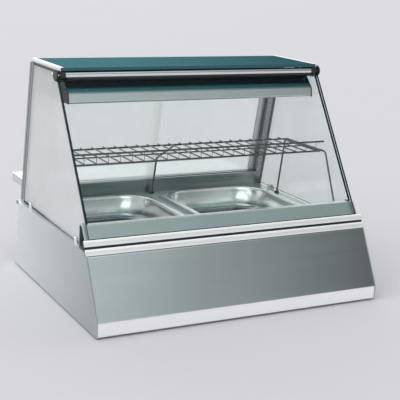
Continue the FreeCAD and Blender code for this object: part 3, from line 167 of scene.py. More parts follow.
def shade(colour, factor):
    return tuple(min(1.0, c * factor) for c in colour[:3]) + (1.0,)


ALONG, ACROSS = 1.2, 420.0       # how fast the brush lines change with and over the grain
BRUSH = {"X": (ALONG, ACROSS, ACROSS), "Y": (ACROSS, ALONG, ACROSS),
         "Z": (ACROSS, ACROSS, ALONG)}
SPREAD = {"X": (3.0, 30.0, 30.0), "Y": (30.0, 3.0, 30.0), "Z": (30.0, 30.0, 3.0)}
DARK_TONE, PALE_TONE = 0.9, 1.08


BRUSH_DEPTH = 0.04 * MM
MARK_DEPTH = 0.03 * MM
GRAIN_DEPTH = 0.04 * MM


def brushed(name, colour, roughness, along, painted_light_fades=()):
    """Brushed stainless: fine lines one way, faint cloudiness and wiped patches.

    Each fade is (axis, from, to, second colour, second metallic): the colour drifts to
    the second one between the two places along the axis, painting light and shade.
    """
    p = Paint(name)
    lines = p.noise(1.0, 2.0, 0.6, BRUSH[along])
    cloud = p.noise(5.0, 3.0, 0.55)
    spread = p.noise(1.0, 1.0, 0.5, SPREAD[along])
    tone = (lines * 0.55 + cloud * 0.45).clamped(0.0, 1.0)
    base = p.blend(tone, shade(colour, DARK_TONE), shade(colour, PALE_TONE))
    metal = 1.0
    # Painted light and shade: each fade drifts the colour to a darker or paler copy of the steel
    # along the axis; a lower metallic turns the sheet into pale paint, a painted highlight.
    for axis, start, end, other, other_metal in painted_light_fades:
        place = p.node("ShaderNodeSeparateXYZ", None, [p.place()], out="XYZ".index(axis))
        share = ((place - start) * (1.0 / (end - start))).clamped(0.0, 1.0)
        base = p.blend(share, base, p.blend(tone, shade(other, DARK_TONE),
                                            shade(other, PALE_TONE)))
        if other_metal < 1.0:
            metal = 1.0 - share * (1.0 - other_metal)
    rough = lines * 0.10 + cloud * 0.08 + spread * 0.05 + (roughness - 0.115)
    return p.finish(p.principled(Base_Color=base, Metallic=metal, Roughness=rough,
                                 Normal=p.bump(lines, BRUSH_DEPTH, 0.5)))


def polished(name, colour, roughness, metal=1.0, low=None):
    """Bright drawn or plated metal with faint handling marks.

    low is (from, to, colour): below the second height the colour drifts to this one, a painted
    shade low in the piece.
    """
    p = Paint(name)
    marks = p.noise(60.0, 3.0, 0.6)
    cloud = p.noise(9.0, 2.0)
    base = p.blend(cloud, shade(colour, 0.94), shade(colour, 1.04))
    # Painted shade: darker towards the bottom, below the rim height.
    if low:
        floor, rim, painted_shade = low
        height = p.node("ShaderNodeSeparateXYZ", None, [p.place()], out=2)
        share = ((height - floor) * (1.0 / (rim - floor))).clamped(0.0, 1.0)
        base = p.blend(share, p.blend(cloud, shade(painted_shade, 0.94), shade(painted_shade, 1.04)), base)
    rough = marks * 0.07 + cloud * 0.05 + (roughness - 0.06)
    return p.finish(p.principled(Base_Color=base, Metallic=metal, Roughness=rough,
                                 Normal=p.bump(marks, MARK_DEPTH, 0.4)))


def moulded(name, colour, roughness, grain=900.0, coat=0.0):
    """Moulded plastic, rubber or glaze with a fine grain."""
    p = Paint(name)
    fine = p.noise(grain, 2.0, 0.6)
    cloud = p.noise(30.0, 2.0)
    base = p.blend(cloud, shade(colour, 0.85), shade(colour, 1.2))
    rough = fine * 0.12 + cloud * 0.06 + (roughness - 0.09)
    return p.finish(p.principled(Base_Color=base, Roughness=rough, Coat_Weight=coat,
                                 Normal=p.bump(fine, GRAIN_DEPTH, 0.5)))


TINTED_MIRROR = (0.22, 0.52, 0.60, 1.0)
TINTED_THROUGH = (0.05, 0.16, 0.18, 1.0)
WHITE = (1.0, 1.0, 1.0, 1.0)
PLATE_GLASS = 1.5              # refractive index
BLOOMED_GLASS = 1.25           # the same for a pane that hardly mirrors
FILM_SPREAD = 0.6              # share of the film's light that comes through it
MIRROR_SHARE = 0.22
PANE_SHARE = 0.82


def clear_pane(name, tint, veil, veil_colour, index=PLATE_GLASS):
    """Plate glass: see-through, mirror-like at grazing angles, with an optional pale veil."""
    p = Paint(name)
    smear = p.noise(7.0, 3.0, 0.6)
    through = p.node("ShaderNodeBsdfTransparent", None, {"Color": tint})
    mirror = p.node("ShaderNodeBsdfGlossy", None,
                    {"Color": WHITE, "Roughness": smear * 0.02 + 0.01})
    outward = 1.0 - p.node("ShaderNodeNewGeometry", out=6)
    bounce = p.node("ShaderNodeFresnel", None, {"IOR": index}) * outward
    glass = p.node("ShaderNodeMixShader", None, [bounce, through, mirror])
    if veil <= 0.0:
        return p.finish(glass)
    front = p.principled(Base_Color=veil_colour, Roughness=0.45)
    back = p.node("ShaderNodeBsdfTranslucent", None, {"Color": veil_colour})
    film = p.node("ShaderNodeMixShader", None, [FILM_SPREAD, front, back])
    amount = (smear * 0.16 + (veil - 0.08)).clamped(0.0, 1.0)
    return p.finish(p.node("ShaderNodeMixShader", None, [amount, glass, film]))


def dark_pane(name, colour):
    """Tinted plate glass that mostly mirrors, in its own sea-green tone."""
    p = Paint(name)
    smear = p.noise(6.0, 3.0, 0.6)
    base = p.blend(smear, shade(colour, 0.8), shade(colour, 1.25))
    body = p.principled(Base_Color=base, Roughness=smear * 0.05 + 0.10, Specular_IOR_Level=0.0)
    mirror = p.node("ShaderNodeBsdfGlossy", None,
                    {"Color": TINTED_MIRROR, "Roughness": smear * 0.08 + 0.20})
    pane = p.node("ShaderNodeMixShader", None, [smear * 0.06 + MIRROR_SHARE, body, mirror])
    through = p.node("ShaderNodeBsdfTransparent", None, {"Color": TINTED_THROUGH})
    return p.finish(p.node("ShaderNodeMixShader", None,
                           [smear * 0.06 + PANE_SHARE, through, pane]))


def glass_edge(name, colour):
    """The ground edge of a pane, deep sea-green."""
    p = Paint(name)
    cloud = p.noise(40.0, 2.0)
    base = p.blend(cloud, shade(colour, 0.7), shade(colour, 1.4))
    return p.finish(p.principled(Base_Color=base, Roughness=cloud * 0.1 + 0.12,
                                 Specular_IOR_Level=0.15))


# ------------------------------------------------------------------ properties
def colour_property(name, default, words):
    return bpy.props.FloatVectorProperty(name=name, description=words, default=default, size=3,
                                         subtype="COLOR", min=0.0, max=1.0)


def length_property(name, millimetres, words):
    return bpy.props.FloatProperty(name=name, description=words, default=millimetres * MM,
                                   min=0.0, unit="LENGTH", subtype="DISTANCE")


UPRIGHT_SHARE = 0.38           # upright wires, as a share of the cross wires


class CaseSizes(bpy.types.PropertyGroup):
    """Sizes of the fine parts."""

    edge_round: length_property("Sheet edge", 0.35, "Rounding of cut sheet edges")
    glass_round: length_property("Glass edge", 0.7, "Width of the ground edge of each pane")
    frame_wire: length_property("Frame wire", 2.5, "Radius of the shelf frame wires")
    cross_wire: length_property("Cross wire", 1.75, "Radius of the shelf cross wires")
    wire_pitch: length_property("Wire pitch", 31.0, "Distance between shelf cross wires")
    rail_rise: length_property("Rail rise", 25.0, "Height of the raised front rail")
    screw_head: length_property("Screw head", 3.8, "Radius of a screw head")
    shelf_depth: length_property("Shelf depth", 177.0, "Front wire to rear wire")
    rail_overhang: length_property("Rail overhang", 6.0, "How far the rail runs past the rack")
    tick_ring: length_property("Dial ring", 21.4, "Radius of the marks around the knob")


class CaseColours(bpy.types.PropertyGroup):
    """Colours of the finishes."""

    stainless: colour_property("Stainless", (0.70, 0.745, 0.75), "Brushed stainless steel")
    bright: colour_property("Bright trim", (0.93, 0.935, 0.93), "Bright anodised trim")
    pan: colour_property("Pan steel", (0.78, 0.80, 0.79), "Polished food pans")
    wire: colour_property("Wire", (0.16, 0.165, 0.17), "Shelf wire")
    black: colour_property("Black parts", (0.012, 0.013, 0.014), "Plastic and rubber parts")
    edge: colour_property("Glass edge", (0.004, 0.022, 0.026), "Edge of the glass")
    top: colour_property("Top glass", (0.008, 0.030, 0.035), "Tinted top glass")
    veil: colour_property("Side veil", (0.93, 0.925, 0.93), "Pale veil on the side panes")


def sizes():
    return bpy.context.scene.case_sizes


def colours():
    return bpy.context.scene.case_colours


# --------------------------------------------------------------- mesh building
def link(name, mesh):
    made = bpy.data.objects.new(name, mesh)
    bpy.context.scene.collection.objects.link(made)
    return made


def settle(piece):
    """Turn the piece's modifiers into plain mesh and drop them."""
    bpy.context.view_layer.update()
    graph = bpy.context.evaluated_depsgraph_get()
    mesh = bpy.data.meshes.new_from_object(piece.evaluated_get(graph), depsgraph=graph)
    old = piece.data
    piece.modifiers.clear()
    piece.data = mesh
    bpy.data.meshes.remove(old)
    return piece


def smooth_by_angle(mesh, degrees=SMOOTH_ANGLE):
    """Smooth shading that keeps edges sharper than the angle."""
    work = bmesh.new()
    work.from_mesh(mesh)
    limit = math.radians(degrees)
    for face in work.faces:
        face.smooth = True
    for edge in work.edges:
        edge.smooth = len(edge.link_faces) == 2 and edge.calc_face_angle(0.0) < limit
    work.to_mesh(mesh)
    work.free()


def even_normals(piece):
    """Let the broad faces set the shading, so flat sheet stays flat beside its bends."""
    weigh = piece.modifiers.new("Even shading", "WEIGHTED_NORMAL")
    weigh.keep_sharp = True
    weigh.weight = 100
    settle(piece)


def add(piece, body, nodes=()):
    """Put a finished piece on its body, and hide the CAD parts it stands for."""
    if nodes:
        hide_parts(*nodes)
    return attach(piece, body)


def node_body(node):
    return frame["nodes"][node]["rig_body"]


def refine(node, material, rounding=None, edge_material=None, degrees=SMOOTH_ANGLE):
    """A copy of a CAD part, welded, with softly rounded edges and even shading."""
    width = sizes().edge_round if rounding is None else rounding
    mesh = frame["nodes"][node].data.copy()
    mesh.materials.clear()
    work = bmesh.new()
    work.from_mesh(mesh)
    bmesh.ops.remove_doubles(work, verts=work.verts, dist=WELD)
    bmesh.ops.dissolve_limit(work, angle_limit=math.radians(FLAT_ANGLE), verts=work.verts,
                             edges=work.edges, delimit=set())
    work.to_mesh(mesh)
    work.free()
    for layer in [a.name for a in mesh.attributes if a.name.startswith(("custom", "UV"))]:
        mesh.attributes.remove(mesh.attributes[layer])
    piece = link(node + "_finish", mesh)
    if width > 0.0:
        bevel = piece.modifiers.new("Soft edges", "BEVEL")
        bevel.width = width
        bevel.segments = 2
        bevel.limit_method = "ANGLE"
        bevel.angle_limit = math.radians(degrees)
        bevel.use_clamp_overlap = True
        settle(piece)
    smooth_by_angle(piece.data, degrees)
    even_normals(piece)
    piece.data.materials.append(material)
    if edge_material:
        piece.data.materials.append(edge_material)
        mark_edges(piece.data)
    return add(piece, node_body(node), [node])


BROAD_SIDE = 0.98


def mark_edges(mesh):
    """Give every face that isn't on one of the two broad sides the second material."""
    broad = max(mesh.polygons, key=lambda face: face.area).normal.copy()
    for face in mesh.polygons:
        if abs(face.normal.dot(broad)) < BROAD_SIDE:
            face.material_index = 1


# ------------------------------------------------------------- geometry nodes
def span_of(profile):
    """The widest radius and the highest point of a turned profile."""
    return max(radius for radius, height in profile), max(height for radius, height in profile)


class Recipe:
    """A geometry node tree that is built node by node."""

    def __init__(self, name, inputs):
        self.tree = bpy.data.node_groups.new(name, "GeometryNodeTree")
        self.tree.is_modifier = True
        face = self.tree.interface
        face.new_socket("Geometry", in_out="INPUT", socket_type="NodeSocketGeometry")
        self.sockets = {}
        for label, (kind, value) in inputs.items():
            socket = face.new_socket(label, in_out="INPUT", socket_type=kind)
            socket.default_value = value
            self.sockets[label] = socket.identifier
        face.new_socket("Geometry", in_out="OUTPUT", socket_type="NodeSocketGeometry")
        self.start = self.tree.nodes.new("NodeGroupInput")
        self.end = self.tree.nodes.new("NodeGroupOutput")

    def given(self, label):
        return self.start.outputs[label]

    def node(self, kind, settings=None, sockets=None, out=0):
        made = self.tree.nodes.new(kind)
        for name, value in (settings or {}).items():
            setattr(made, name, value)
        pairs = sockets.items() if isinstance(sockets, dict) else enumerate(sockets or [])
        for name, value in pairs:
            if isinstance(value, bpy.types.NodeSocket):
                self.tree.links.new(value, made.inputs[name])
            elif value is not None:
                made.inputs[name].default_value = value
        return made.outputs[out]

    def maths(self, operation, a, b):
        return self.node("ShaderNodeMath", {"operation": operation}, [a, b])

    def vector(self, x=0.0, y=0.0, z=0.0):
        return self.node("ShaderNodeCombineXYZ", None, [x, y, z])

    def line(self, start, end):
        return self.node("GeometryNodeCurvePrimitiveLine", None, {"Start": start, "End": end})

    def ring(self, radius, sides):
        return self.node("GeometryNodeCurvePrimitiveCircle", None,
                         {"Resolution": sides, "Radius": radius})

    def tube(self, curve, radius, sides, capped=True):
        return self.node("GeometryNodeCurveToMesh", None,
                         {"Curve": curve, "Profile Curve": self.ring(radius, sides),
                          "Fill Caps": capped})

    def moved(self, geometry, offset):
        return self.node("GeometryNodeTransform", None,
                         {"Geometry": geometry, "Translation": offset})

    def lathe(self, profile, sides):
        """A turned shape stacked from cones along Z.

        profile is (radius, height) pairs, scaled so that its widest and highest points
        have the recipe's Radius and Height.
        """
        widest, highest = span_of(profile)
        parts = []
        for (first, low), (last, high) in zip(profile, profile[1:]):
            if high < low:
                first, last, low, high = last, first, high, low
            top, bottom = (self.maths("MULTIPLY", self.given("Radius"), radius / widest)
                           for radius in (last, first))
            depth, lift = (self.maths("MULTIPLY", self.given("Height"), height / highest)
                           for height in (high - low, low))
            cone = self.node("GeometryNodeMeshCone", {"fill_type": "NONE"},
                             {"Vertices": sides, "Radius Top": top, "Radius Bottom": bottom,
                              "Depth": depth})
            parts.append(self.moved(cone, self.vector(0.0, 0.0, lift)))
        return self.node("GeometryNodeMergeByDistance", None,
                         {"Geometry": self.joined(parts), "Distance": WELD})

    def box(self, size, centre):
        cube = self.node("GeometryNodeMeshCube", None, {"Size": size})
        return self.moved(cube, centre)

    def copied(self, points, shape, rotation=None):
        """The shape once on every point."""
        return self.node("GeometryNodeInstanceOnPoints", None,
                         {"Points": points, "Instance": shape, "Rotation": rotation})

    def along_way(self):
        """The rotation that turns Z to each point's own direction."""
        way = self.node("GeometryNodeInputNamedAttribute", {"data_type": "FLOAT_VECTOR"},
                        {"Name": "way"})
        return self.node("FunctionNodeAlignRotationToVector", {"axis": "Z"}, {"Vector": way})

    def row(self, count, start, step):
        return self.node("GeometryNodeMeshLine", {"mode": "OFFSET", "count_mode": "TOTAL"},
                         {"Count": count, "Start Location": start, "Offset": step})

    def joined(self, parts):
        made = self.tree.nodes.new("GeometryNodeJoinGeometry")
        for part in reversed(parts):
            self.tree.links.new(part, made.inputs[0])
        return made.outputs[0]

    def close(self, geometry, material):
        real = self.node("GeometryNodeRealizeInstances", None, [geometry])
        smooth = self.node("GeometryNodeSetShadeSmooth", None, [real])
        painted = self.node("GeometryNodeSetMaterial", None,
                            {"Geometry": smooth, "Material": material})
        self.tree.links.new(painted, self.end.inputs[0])


def grow(name, mesh, recipe, values):
    """Run a recipe on a mesh and keep the result as a plain piece."""
    piece = link(name, mesh)
    modifier = piece.modifiers.new("Recipe", "NODES")
    modifier.node_group = recipe.tree
    for label, value in values.items():
        modifier[recipe.sockets[label]] = value
    settle(piece)
    work = bmesh.new()
    work.from_mesh(piece.data)
    bmesh.ops.recalc_face_normals(work, faces=work.faces)
    work.to_mesh(piece.data)
    work.free()
    smooth_by_angle(piece.data)
    return piece


NUMBER = "NodeSocketFloat"
WHOLE = "NodeSocketInt"
FINISH = "NodeSocketMaterial"


def turned_recipe(name, profile, sides):
    """A recipe that puts one turned shape, of a given radius and height, on every point."""
    recipe = Recipe(name, {"Radius": (NUMBER, 0.01), "Height": (NUMBER, 0.01),
                           "Finish": (FINISH, None)})
    shape = recipe.lathe(profile, sides)
    copies = recipe.copied(recipe.given("Geometry"), shape, recipe.along_way())
    recipe.close(copies, recipe.given("Finish"))
    return recipe


def screw_seats():
    """Where each screw head sits, and the way it faces."""
    work = bmesh.new()
    work.from_mesh(frame["nodes"]["screws"].data)
    bmesh.ops.remove_doubles(work, verts=work.verts, dist=WELD)
    left = set(work.faces)
    seats = []
    while left:
        island = [left.pop()]
        for face in island:
            for edge in face.edges:
                for other in edge.link_faces:
                    if other in left:
                        left.remove(other)
                        island.append(other)
        flats = {}
        for face in island:
            key = tuple(round(c, 2) for c in face.normal)
            flats.setdefault(key, []).append(face)
        under = max(flats.values(), key=lambda faces: sum(f.calc_area() for f in faces))
        way = -under[0].normal
        spots = {vert for face in island for vert in face.verts}
        middle = sum((vert.co for vert in spots), Vector()) / len(spots)
        level = max(vert.co.dot(way) for face in under for vert in face.verts)
        seats.append((middle + way * (level - middle.dot(way)), way))
    work.free()
    return seats


def island_boxes(node):
    """The lower and upper corners of each separate solid of a CAD part."""
    work = bmesh.new()
    work.from_mesh(frame["nodes"][node].data)
    bmesh.ops.remove_doubles(work, verts=work.verts, dist=WELD)
    left = set(work.verts)
    boxes = []
    while left:
        found = [left.pop()]
        for vert in found:
            for edge in vert.link_edges:
                other = edge.other_vert(vert)
                if other in left:
                    left.remove(other)
                    found.append(other)
        boxes.append(tuple(Vector([pick(vert.co[axis] for vert in found) for axis in range(3)])
                           for pick in (min, max)))
    work.free()
    return boxes


def points_mesh(name, points, ways=None):
    """A mesh of loose points, each with the direction it faces."""
    mesh = bpy.data.meshes.new(name)
    mesh.from_pydata([tuple(p) for p in points], [], [])
    if ways:
        layer = mesh.attributes.new("way", "FLOAT_VECTOR", "POINT")
        layer.data.foreach_set("vector", [c for way in ways for c in way])
    return mesh


# -------------------------------------------------------------------- finishes
finishes = {}
# Painted reflection: the dark sea-green of the canopy's upper faces, standing in for the tinted
# top glass mirrored there.
CANOPY_PAINTED_REFLECTION = (0.035, 0.13, 0.16, 1.0)
LIP_TOP = 0.038
# Painted highlight: below the lip top the front panel takes this pale, hardly metallic colour.
LIP_PAINTED_HIGHLIGHT = (0.90, 0.89, 0.90, 1.0)
# Painted shade: the darker colour of the pans towards their floors.
PAN_PAINTED_SHADE = (0.34, 0.40, 0.41, 1.0)


def make_finishes():
    """Every material of the case, from the colours in the panel."""
    c = colours()
    steel = tuple(c.stainless)
    finishes.update({
        "steel_wide": brushed("Steel brushed across", steel, 0.34, "X"),
        # Front panel: a paler copy of the stainless that darkens towards the right, painted shade;
        # below the lip top it turns pale and hardly metallic, a painted highlight.
        "steel_front_painted_light": brushed("Front panel steel, painted light", shade(steel, 1.12), 0.36, "X",
                               painted_light_fades=[("X", -0.38, 0.38, shade(steel, 0.46), 1.0),
                                      ("Z", LIP_TOP, LIP_TOP - 0.002, LIP_PAINTED_HIGHLIGHT, 0.15)]),
        "steel_deep": brushed("Steel brushed front to back", shade(steel, 0.95), 0.42, "Y"),
        # Side panels: a darker copy of the stainless that pales towards the rear, painted shade.
        "steel_side_painted_shade": brushed("Side panel steel, painted shade", shade(steel, 0.72), 0.42, "Y",
                              painted_light_fades=[("Y", -0.34, 0.20, shade(steel, 1.15), 1.0)]),
        # Rear rails and posts: darker copies of the stainless, painted shade.
        "steel_rail": brushed("Door rail steel, painted shade", shade(steel, 0.66), 0.30, "X"),
        "steel_tall": brushed("Steel brushed upright, painted shade", shade(steel, 0.5), 0.26, "Z"),
        # Coaming: paler towards the right, painted light.
        "steel_lip_painted_light": brushed("Steel coaming, painted light", shade(steel, 0.95), 0.30, "X",
                             painted_light_fades=[("X", -0.30, 0.36, shade(steel, 1.15), 1.0)]),
        # Canopy: above 503 mm the steel turns dark sea-green, a painted reflection of the tinted
        # top glass.
        "canopy": brushed("Canopy steel, painted reflection", shade(steel, 0.9), 0.2, "X",
                          painted_light_fades=[("Z", 0.503, 0.507, CANOPY_PAINTED_REFLECTION, 1.0)]),
        "zinc": brushed("Plain sheet", (0.50, 0.52, 0.53), 0.46, "X"),
        # Pans: darker towards their floors, painted shade.
        "pan": polished("Pan steel", tuple(c.pan), 0.20, low=(0.120, 0.150, PAN_PAINTED_SHADE)),
        "reflector": polished("Reflector", tuple(c.pan), 0.10),
        "trim": polished("Bright trim", tuple(c.bright), 0.42, 0.7),
        "stile": brushed("Door grip", (0.70, 0.72, 0.73), 0.34, "Z"),
        "chrome": polished("Chrome", (0.80, 0.82, 0.83), 0.08),
        "wire": polished("Wire steel", tuple(c.wire), 0.26),
        "black": moulded("Black parts", tuple(c.black), 0.42),
        "rubber": moulded("Rubber", tuple(c.black), 0.70),
        "red": moulded("Red switch", (0.42, 0.012, 0.010), 0.22, 300.0, 0.3),
        "grip": moulded("Red grip", (0.40, 0.014, 0.012), 0.38, 400.0),
        "plate": moulded("Control plate", (0.62, 0.64, 0.65), 0.45),
        "mark": moulded("White marks", (0.80, 0.80, 0.78), 0.5),
        "amber": moulded("Amber lens", (0.85, 0.30, 0.03), 0.12, 200.0, 0.5),
        "mat": moulded("Mineral mat", (0.55, 0.50, 0.36), 0.95, 300.0),
        "heater": moulded("Oxidised heater", (0.10, 0.09, 0.085), 0.5, 600.0),
        "ceramic": moulded("Glazed ceramic", (0.80, 0.78, 0.73), 0.25, 200.0, 0.4),
        "quartz": moulded("Quartz tube", (0.74, 0.72, 0.68), 0.18, 200.0, 0.5),
        "brass": brushed("Valve brass", (0.66, 0.50, 0.22), 0.30, "Y"),
        "clear": clear_pane("Clear glass", (0.955, 0.975, 0.970, 1.0), 0.0, None, BLOOMED_GLASS),
        "misted_right": clear_pane("Right side glass", (0.99, 0.99, 0.99, 1.0), 0.22,
                                   tuple(c.veil) + (1.0,)),
        "misted": clear_pane("Side glass", (0.95, 0.96, 0.96, 1.0), 0.80,
                             tuple(c.veil) + (1.0,)),
        "door": clear_pane("Rear door glass", (0.99, 0.985, 0.985, 1.0), 0.42,
                           tuple(c.veil) + (1.0,)),
        "door_edge": clear_pane("Rear door edge", (0.985, 0.985, 0.985, 1.0), 0.42,
                                tuple(c.veil) + (1.0,)),
        "dark": dark_pane("Top glass", tuple(c.top)),
        "edge": glass_edge("Glass edge", tuple(c.edge)),
    })


# ------------------------------------------------------------------- operators
class CASE_OT_finishes(bpy.types.Operator):
    """Build the materials"""

    bl_idname = "case.finishes"
    bl_label = "Finishes"

    def execute(self, context):
        make_finishes()
        return {"FINISHED"}


RUBBER_FOOT = ((0.0, 0.0), (16.9, 0.0), (18.0, 0.9), (17.6, 3.2), (16.8, 3.8), (16.5, 7.6),
               (15.6, 8.2), (15.0, 12.0), (0.0, 12.0))
SHELF_FOOT = ((0.0, 0.0), (7.0, 0.0), (7.0, 3.0), (6.4, 4.2), (4.8, 5.0), (0.0, 5.0))
SCREW_HEAD = ((0.0, -1.0), (2.0, -1.0), (2.0, 0.0), (3.8, 0.0), (3.75, 0.5), (3.3, 1.25),
              (2.3, 1.85), (1.5, 2.0), (1.4, 0.9), (0.0, 0.8))
SCREW_SIDES = 24
RUBBER_SIDES = 40
FOOT_SIDES = 28


def stand(node, label, profile, sides, finish):
    """One turned foot under the middle of each solid of a CAD part."""
    spots = [(low + high) / 2 - Vector((0, 0, (high.z - low.z) / 2)) for low, high in
             island_boxes(node)]
    widest, highest = span_of(profile)
    values = {"Radius": widest * MM, "Height": highest * MM, "Finish": finishes[finish]}
    ways = [(0.0, 0.0, 1.0)] * len(spots)
    piece = grow(node + "_turned", points_mesh("Spots", spots, ways),
                 turned_recipe(label, profile, sides), values)
    add(piece, node_body(node), [node])


class CASE_OT_base(bpy.types.Operator):
    """Finish the folded base, the deck and the trim"""

    bl_idname = "case.base"
    bl_label = "Base"

    def execute(self, context):
        for node, finish in (
                ("front_panel", "steel_front_painted_light"), ("rear_panel", "steel_wide"),
                ("side_panel_left", "steel_side_painted_shade"), ("side_panel_right", "steel_side_painted_shade"),
                ("deck", "steel_wide"), ("pan_divider", "steel_deep"),
                ("front_coaming", "steel_lip_painted_light"), ("bottom_plate", "zinc"),
                ("trim_carrier", "black"), ("bright_trim_bars", "trim")):
            refine(node, finishes[finish])
        for node, finish in (("well_tank", "zinc"), ("insulation_mat", "mat"),
                             ("heating_element", "heater"), ("terminal_block", "black")):
            refine(node, finishes[finish])
        stand("rubber_feet", "Rubber feet", RUBBER_FOOT, RUBBER_SIDES, "rubber")
        return {"FINISHED"}


class CASE_OT_pans(bpy.types.Operator):
    """Draw the two food pans"""

    bl_idname = "case.pans"
    bl_label = "Food pans"

    def execute(self, context):
        for side in ("left", "right"):
            food_pan("food_pan_" + side)
        return {"FINISHED"}


def rounded_ring(centre, half_x, half_y, corner, z, steps=10):
    """Points around a rectangle with round corners, the same number for any corner."""
    points = []
    corners = ((1, 1, 0), (-1, 1, 90), (-1, -1, 180), (1, -1, 270))
    for sx, sy, start in corners:
        cx = centre.x + sx * (half_x - corner)
        cy = centre.y + sy * (half_y - corner)
        for step in range(steps + 1):
            angle = math.radians(start + 90.0 * step / steps)
            points.append((cx + corner * math.cos(angle), cy + corner * math.sin(angle), z))
    return points


PAN_WALL = 1.0 * MM
PAN_FLANGE = 12.0 * MM
PAN_CORNER = 83.0 * MM         # corner of the mouth
PAN_RIM = 95.0 * MM            # corner of the flange
PAN_SHOULDER = 9.0 * MM
PAN_TAPER = 4.0 * MM
PAN_FLOOR_ROUND = 15.0 * MM
PAN_MOUTH_ROUND = 3.2 * MM
PAN_LEAST_CORNER = 2.0 * MM
SHOULDER_STEP = 1.5 * MM
SHOULDER_DROP = 1.4 * MM
MOUTH_STEPS = 5
FLOOR_STEPS = 6


def food_pan(node):
    """A drawn pan: flange, stacking shoulder, tapering wall and rounded floor."""
    low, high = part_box(node)
    centre = (low + high) / 2
    half_x = (high.x - low.x) / 2
    half_y = (high.y - low.y) / 2
    depth = high.z - low.z
    top = high.z
    inside = [(0.0, -PAN_WALL, PAN_RIM), (0.15 * MM, -PAN_WALL * 0.2, PAN_RIM),
              (0.6 * MM, 0.0, PAN_RIM),
              (PAN_FLANGE - PAN_MOUTH_ROUND, 0.0, PAN_CORNER + PAN_MOUTH_ROUND)]
    for step in range(1, MOUTH_STEPS + 1):
        angle = math.radians(90.0 * step / MOUTH_STEPS)
        inside.append((PAN_FLANGE - PAN_MOUTH_ROUND + PAN_MOUTH_ROUND * math.sin(angle),
                       -PAN_MOUTH_ROUND * (1 - math.cos(angle)), PAN_CORNER))
    inside += [(PAN_FLANGE + 0.3 * MM, -PAN_SHOULDER, PAN_CORNER),
               (PAN_FLANGE + SHOULDER_STEP, -PAN_SHOULDER - SHOULDER_DROP,
                PAN_CORNER - 1.0 * MM)]
    base = PAN_FLANGE + PAN_TAPER
    straight = depth - PAN_WALL - PAN_FLOOR_ROUND
    inside.append((PAN_FLANGE + SHOULDER_STEP + (PAN_TAPER - SHOULDER_STEP) * 0.9, -straight,
                   PAN_CORNER - PAN_TAPER))
    for step in range(1, FLOOR_STEPS + 1):
        angle = math.radians(90.0 * step / FLOOR_STEPS)
        inward = PAN_FLOOR_ROUND * (1 - math.cos(angle))
        inside.append((base + inward, -straight - PAN_FLOOR_ROUND * math.sin(angle),
                       PAN_CORNER - PAN_TAPER - inward * 0.9))
    rings = [rounded_ring(centre, half_x - inset, half_y - inset, max(r, PAN_LEAST_CORNER),
                          top + z) for inset, z, r in inside]
    outside = [(max(inset - PAN_WALL, 0.2 * MM), z - PAN_WALL, r + PAN_WALL)
               for inset, z, r in inside[4:]]
    under = [rounded_ring(centre, half_x - inset, half_y - inset, max(r, PAN_LEAST_CORNER),
                          max(top + z, low.z)) for inset, z, r in outside]
    work = bmesh.new()
    loops = [[work.verts.new(p) for p in ring] for ring in list(reversed(under)) + rings]
    count = len(loops[0])
    for first, second in zip(loops, loops[1:]):
        for index in range(count):
            after = (index + 1) % count
            work.faces.new([first[index], first[after], second[after], second[index]])
    work.faces.new(loops[0])
    work.faces.new(loops[-1])
    bmesh.ops.recalc_face_normals(work, faces=work.faces)
    mesh = bpy.data.meshes.new(node)
    work.to_mesh(mesh)
    work.free()
    smooth_by_angle(mesh, 40.0)
    mesh.materials.append(finishes["pan"])
    add(link(node + "_drawn", mesh), node_body(node), [node])


class CASE_OT_glass(bpy.types.Operator):
    """Finish the panes, their rails and their clamps"""

    bl_idname = "case.glass"
    bl_label = "Glass house"

    def execute(self, context):
        width = sizes().glass_round
        panes = (("front_glass", "clear"), ("side_glass_left", "misted"),
                 ("side_glass_right", "misted_right"), ("top_glass", "dark"),
                 ("rear_door_glass_left", "door"), ("rear_door_glass_right", "door"))
        for node, finish in panes:
            edge = {"dark": "dark", "door": "door_edge"}.get(finish, "edge")
            refine(node, finishes[finish], width, edge_material=finishes[edge])
        for node, finish in (
                ("side_rails", "black"), ("top_edge_trims", "trim"), ("glass_clamps", "chrome"),
                ("front_glass_seal", "rubber"), ("rear_posts", "steel_tall"),
                ("rear_lower_rail", "steel_rail"), ("rear_upper_rail", "steel_rail"),
                ("rear_door_stile_left", "stile"), ("rear_door_stile_right", "stile")):
            refine(node, finishes[finish])
        return {"FINISHED"}


BLOCK_ROUND = 0.8 * MM
CONTROL_ROUND = 0.2 * MM


class CASE_OT_hinge(bpy.types.Operator):
    """Finish the front hinge"""

    bl_idname = "case.hinge"
    bl_label = "Front hinge"

    def execute(self, context):
        refine("hinge_tube", finishes["chrome"])
        refine("hinge_pins", finishes["chrome"])
        refine("hinge_blocks", finishes["black"], BLOCK_ROUND)
        refine("hinge_discs", finishes["black"])
        return {"FINISHED"}


class CASE_OT_canopy(bpy.types.Operator):
    """Finish the lamp canopy"""

    bl_idname = "case.canopy"
    bl_label = "Canopy"

    def execute(self, context):
        for node, finish in (
                ("canopy_shell", "canopy"), ("canopy_end_caps", "black"),
                ("reflector", "reflector"), ("heat_lamps", "quartz"),
                ("lamp_holders", "ceramic"), ("canopy_hangers", "steel_wide")):
            refine(node, finishes[finish])
        return {"FINISHED"}


FRAME_SIDES = 12
CROSS_SIDES = 10
CORNER_STEPS = 6
CORNER_BEND = 7.0 * MM
RACK_ENDS = 22.0 * MM          # both ends of the rack together, clear of cross wires


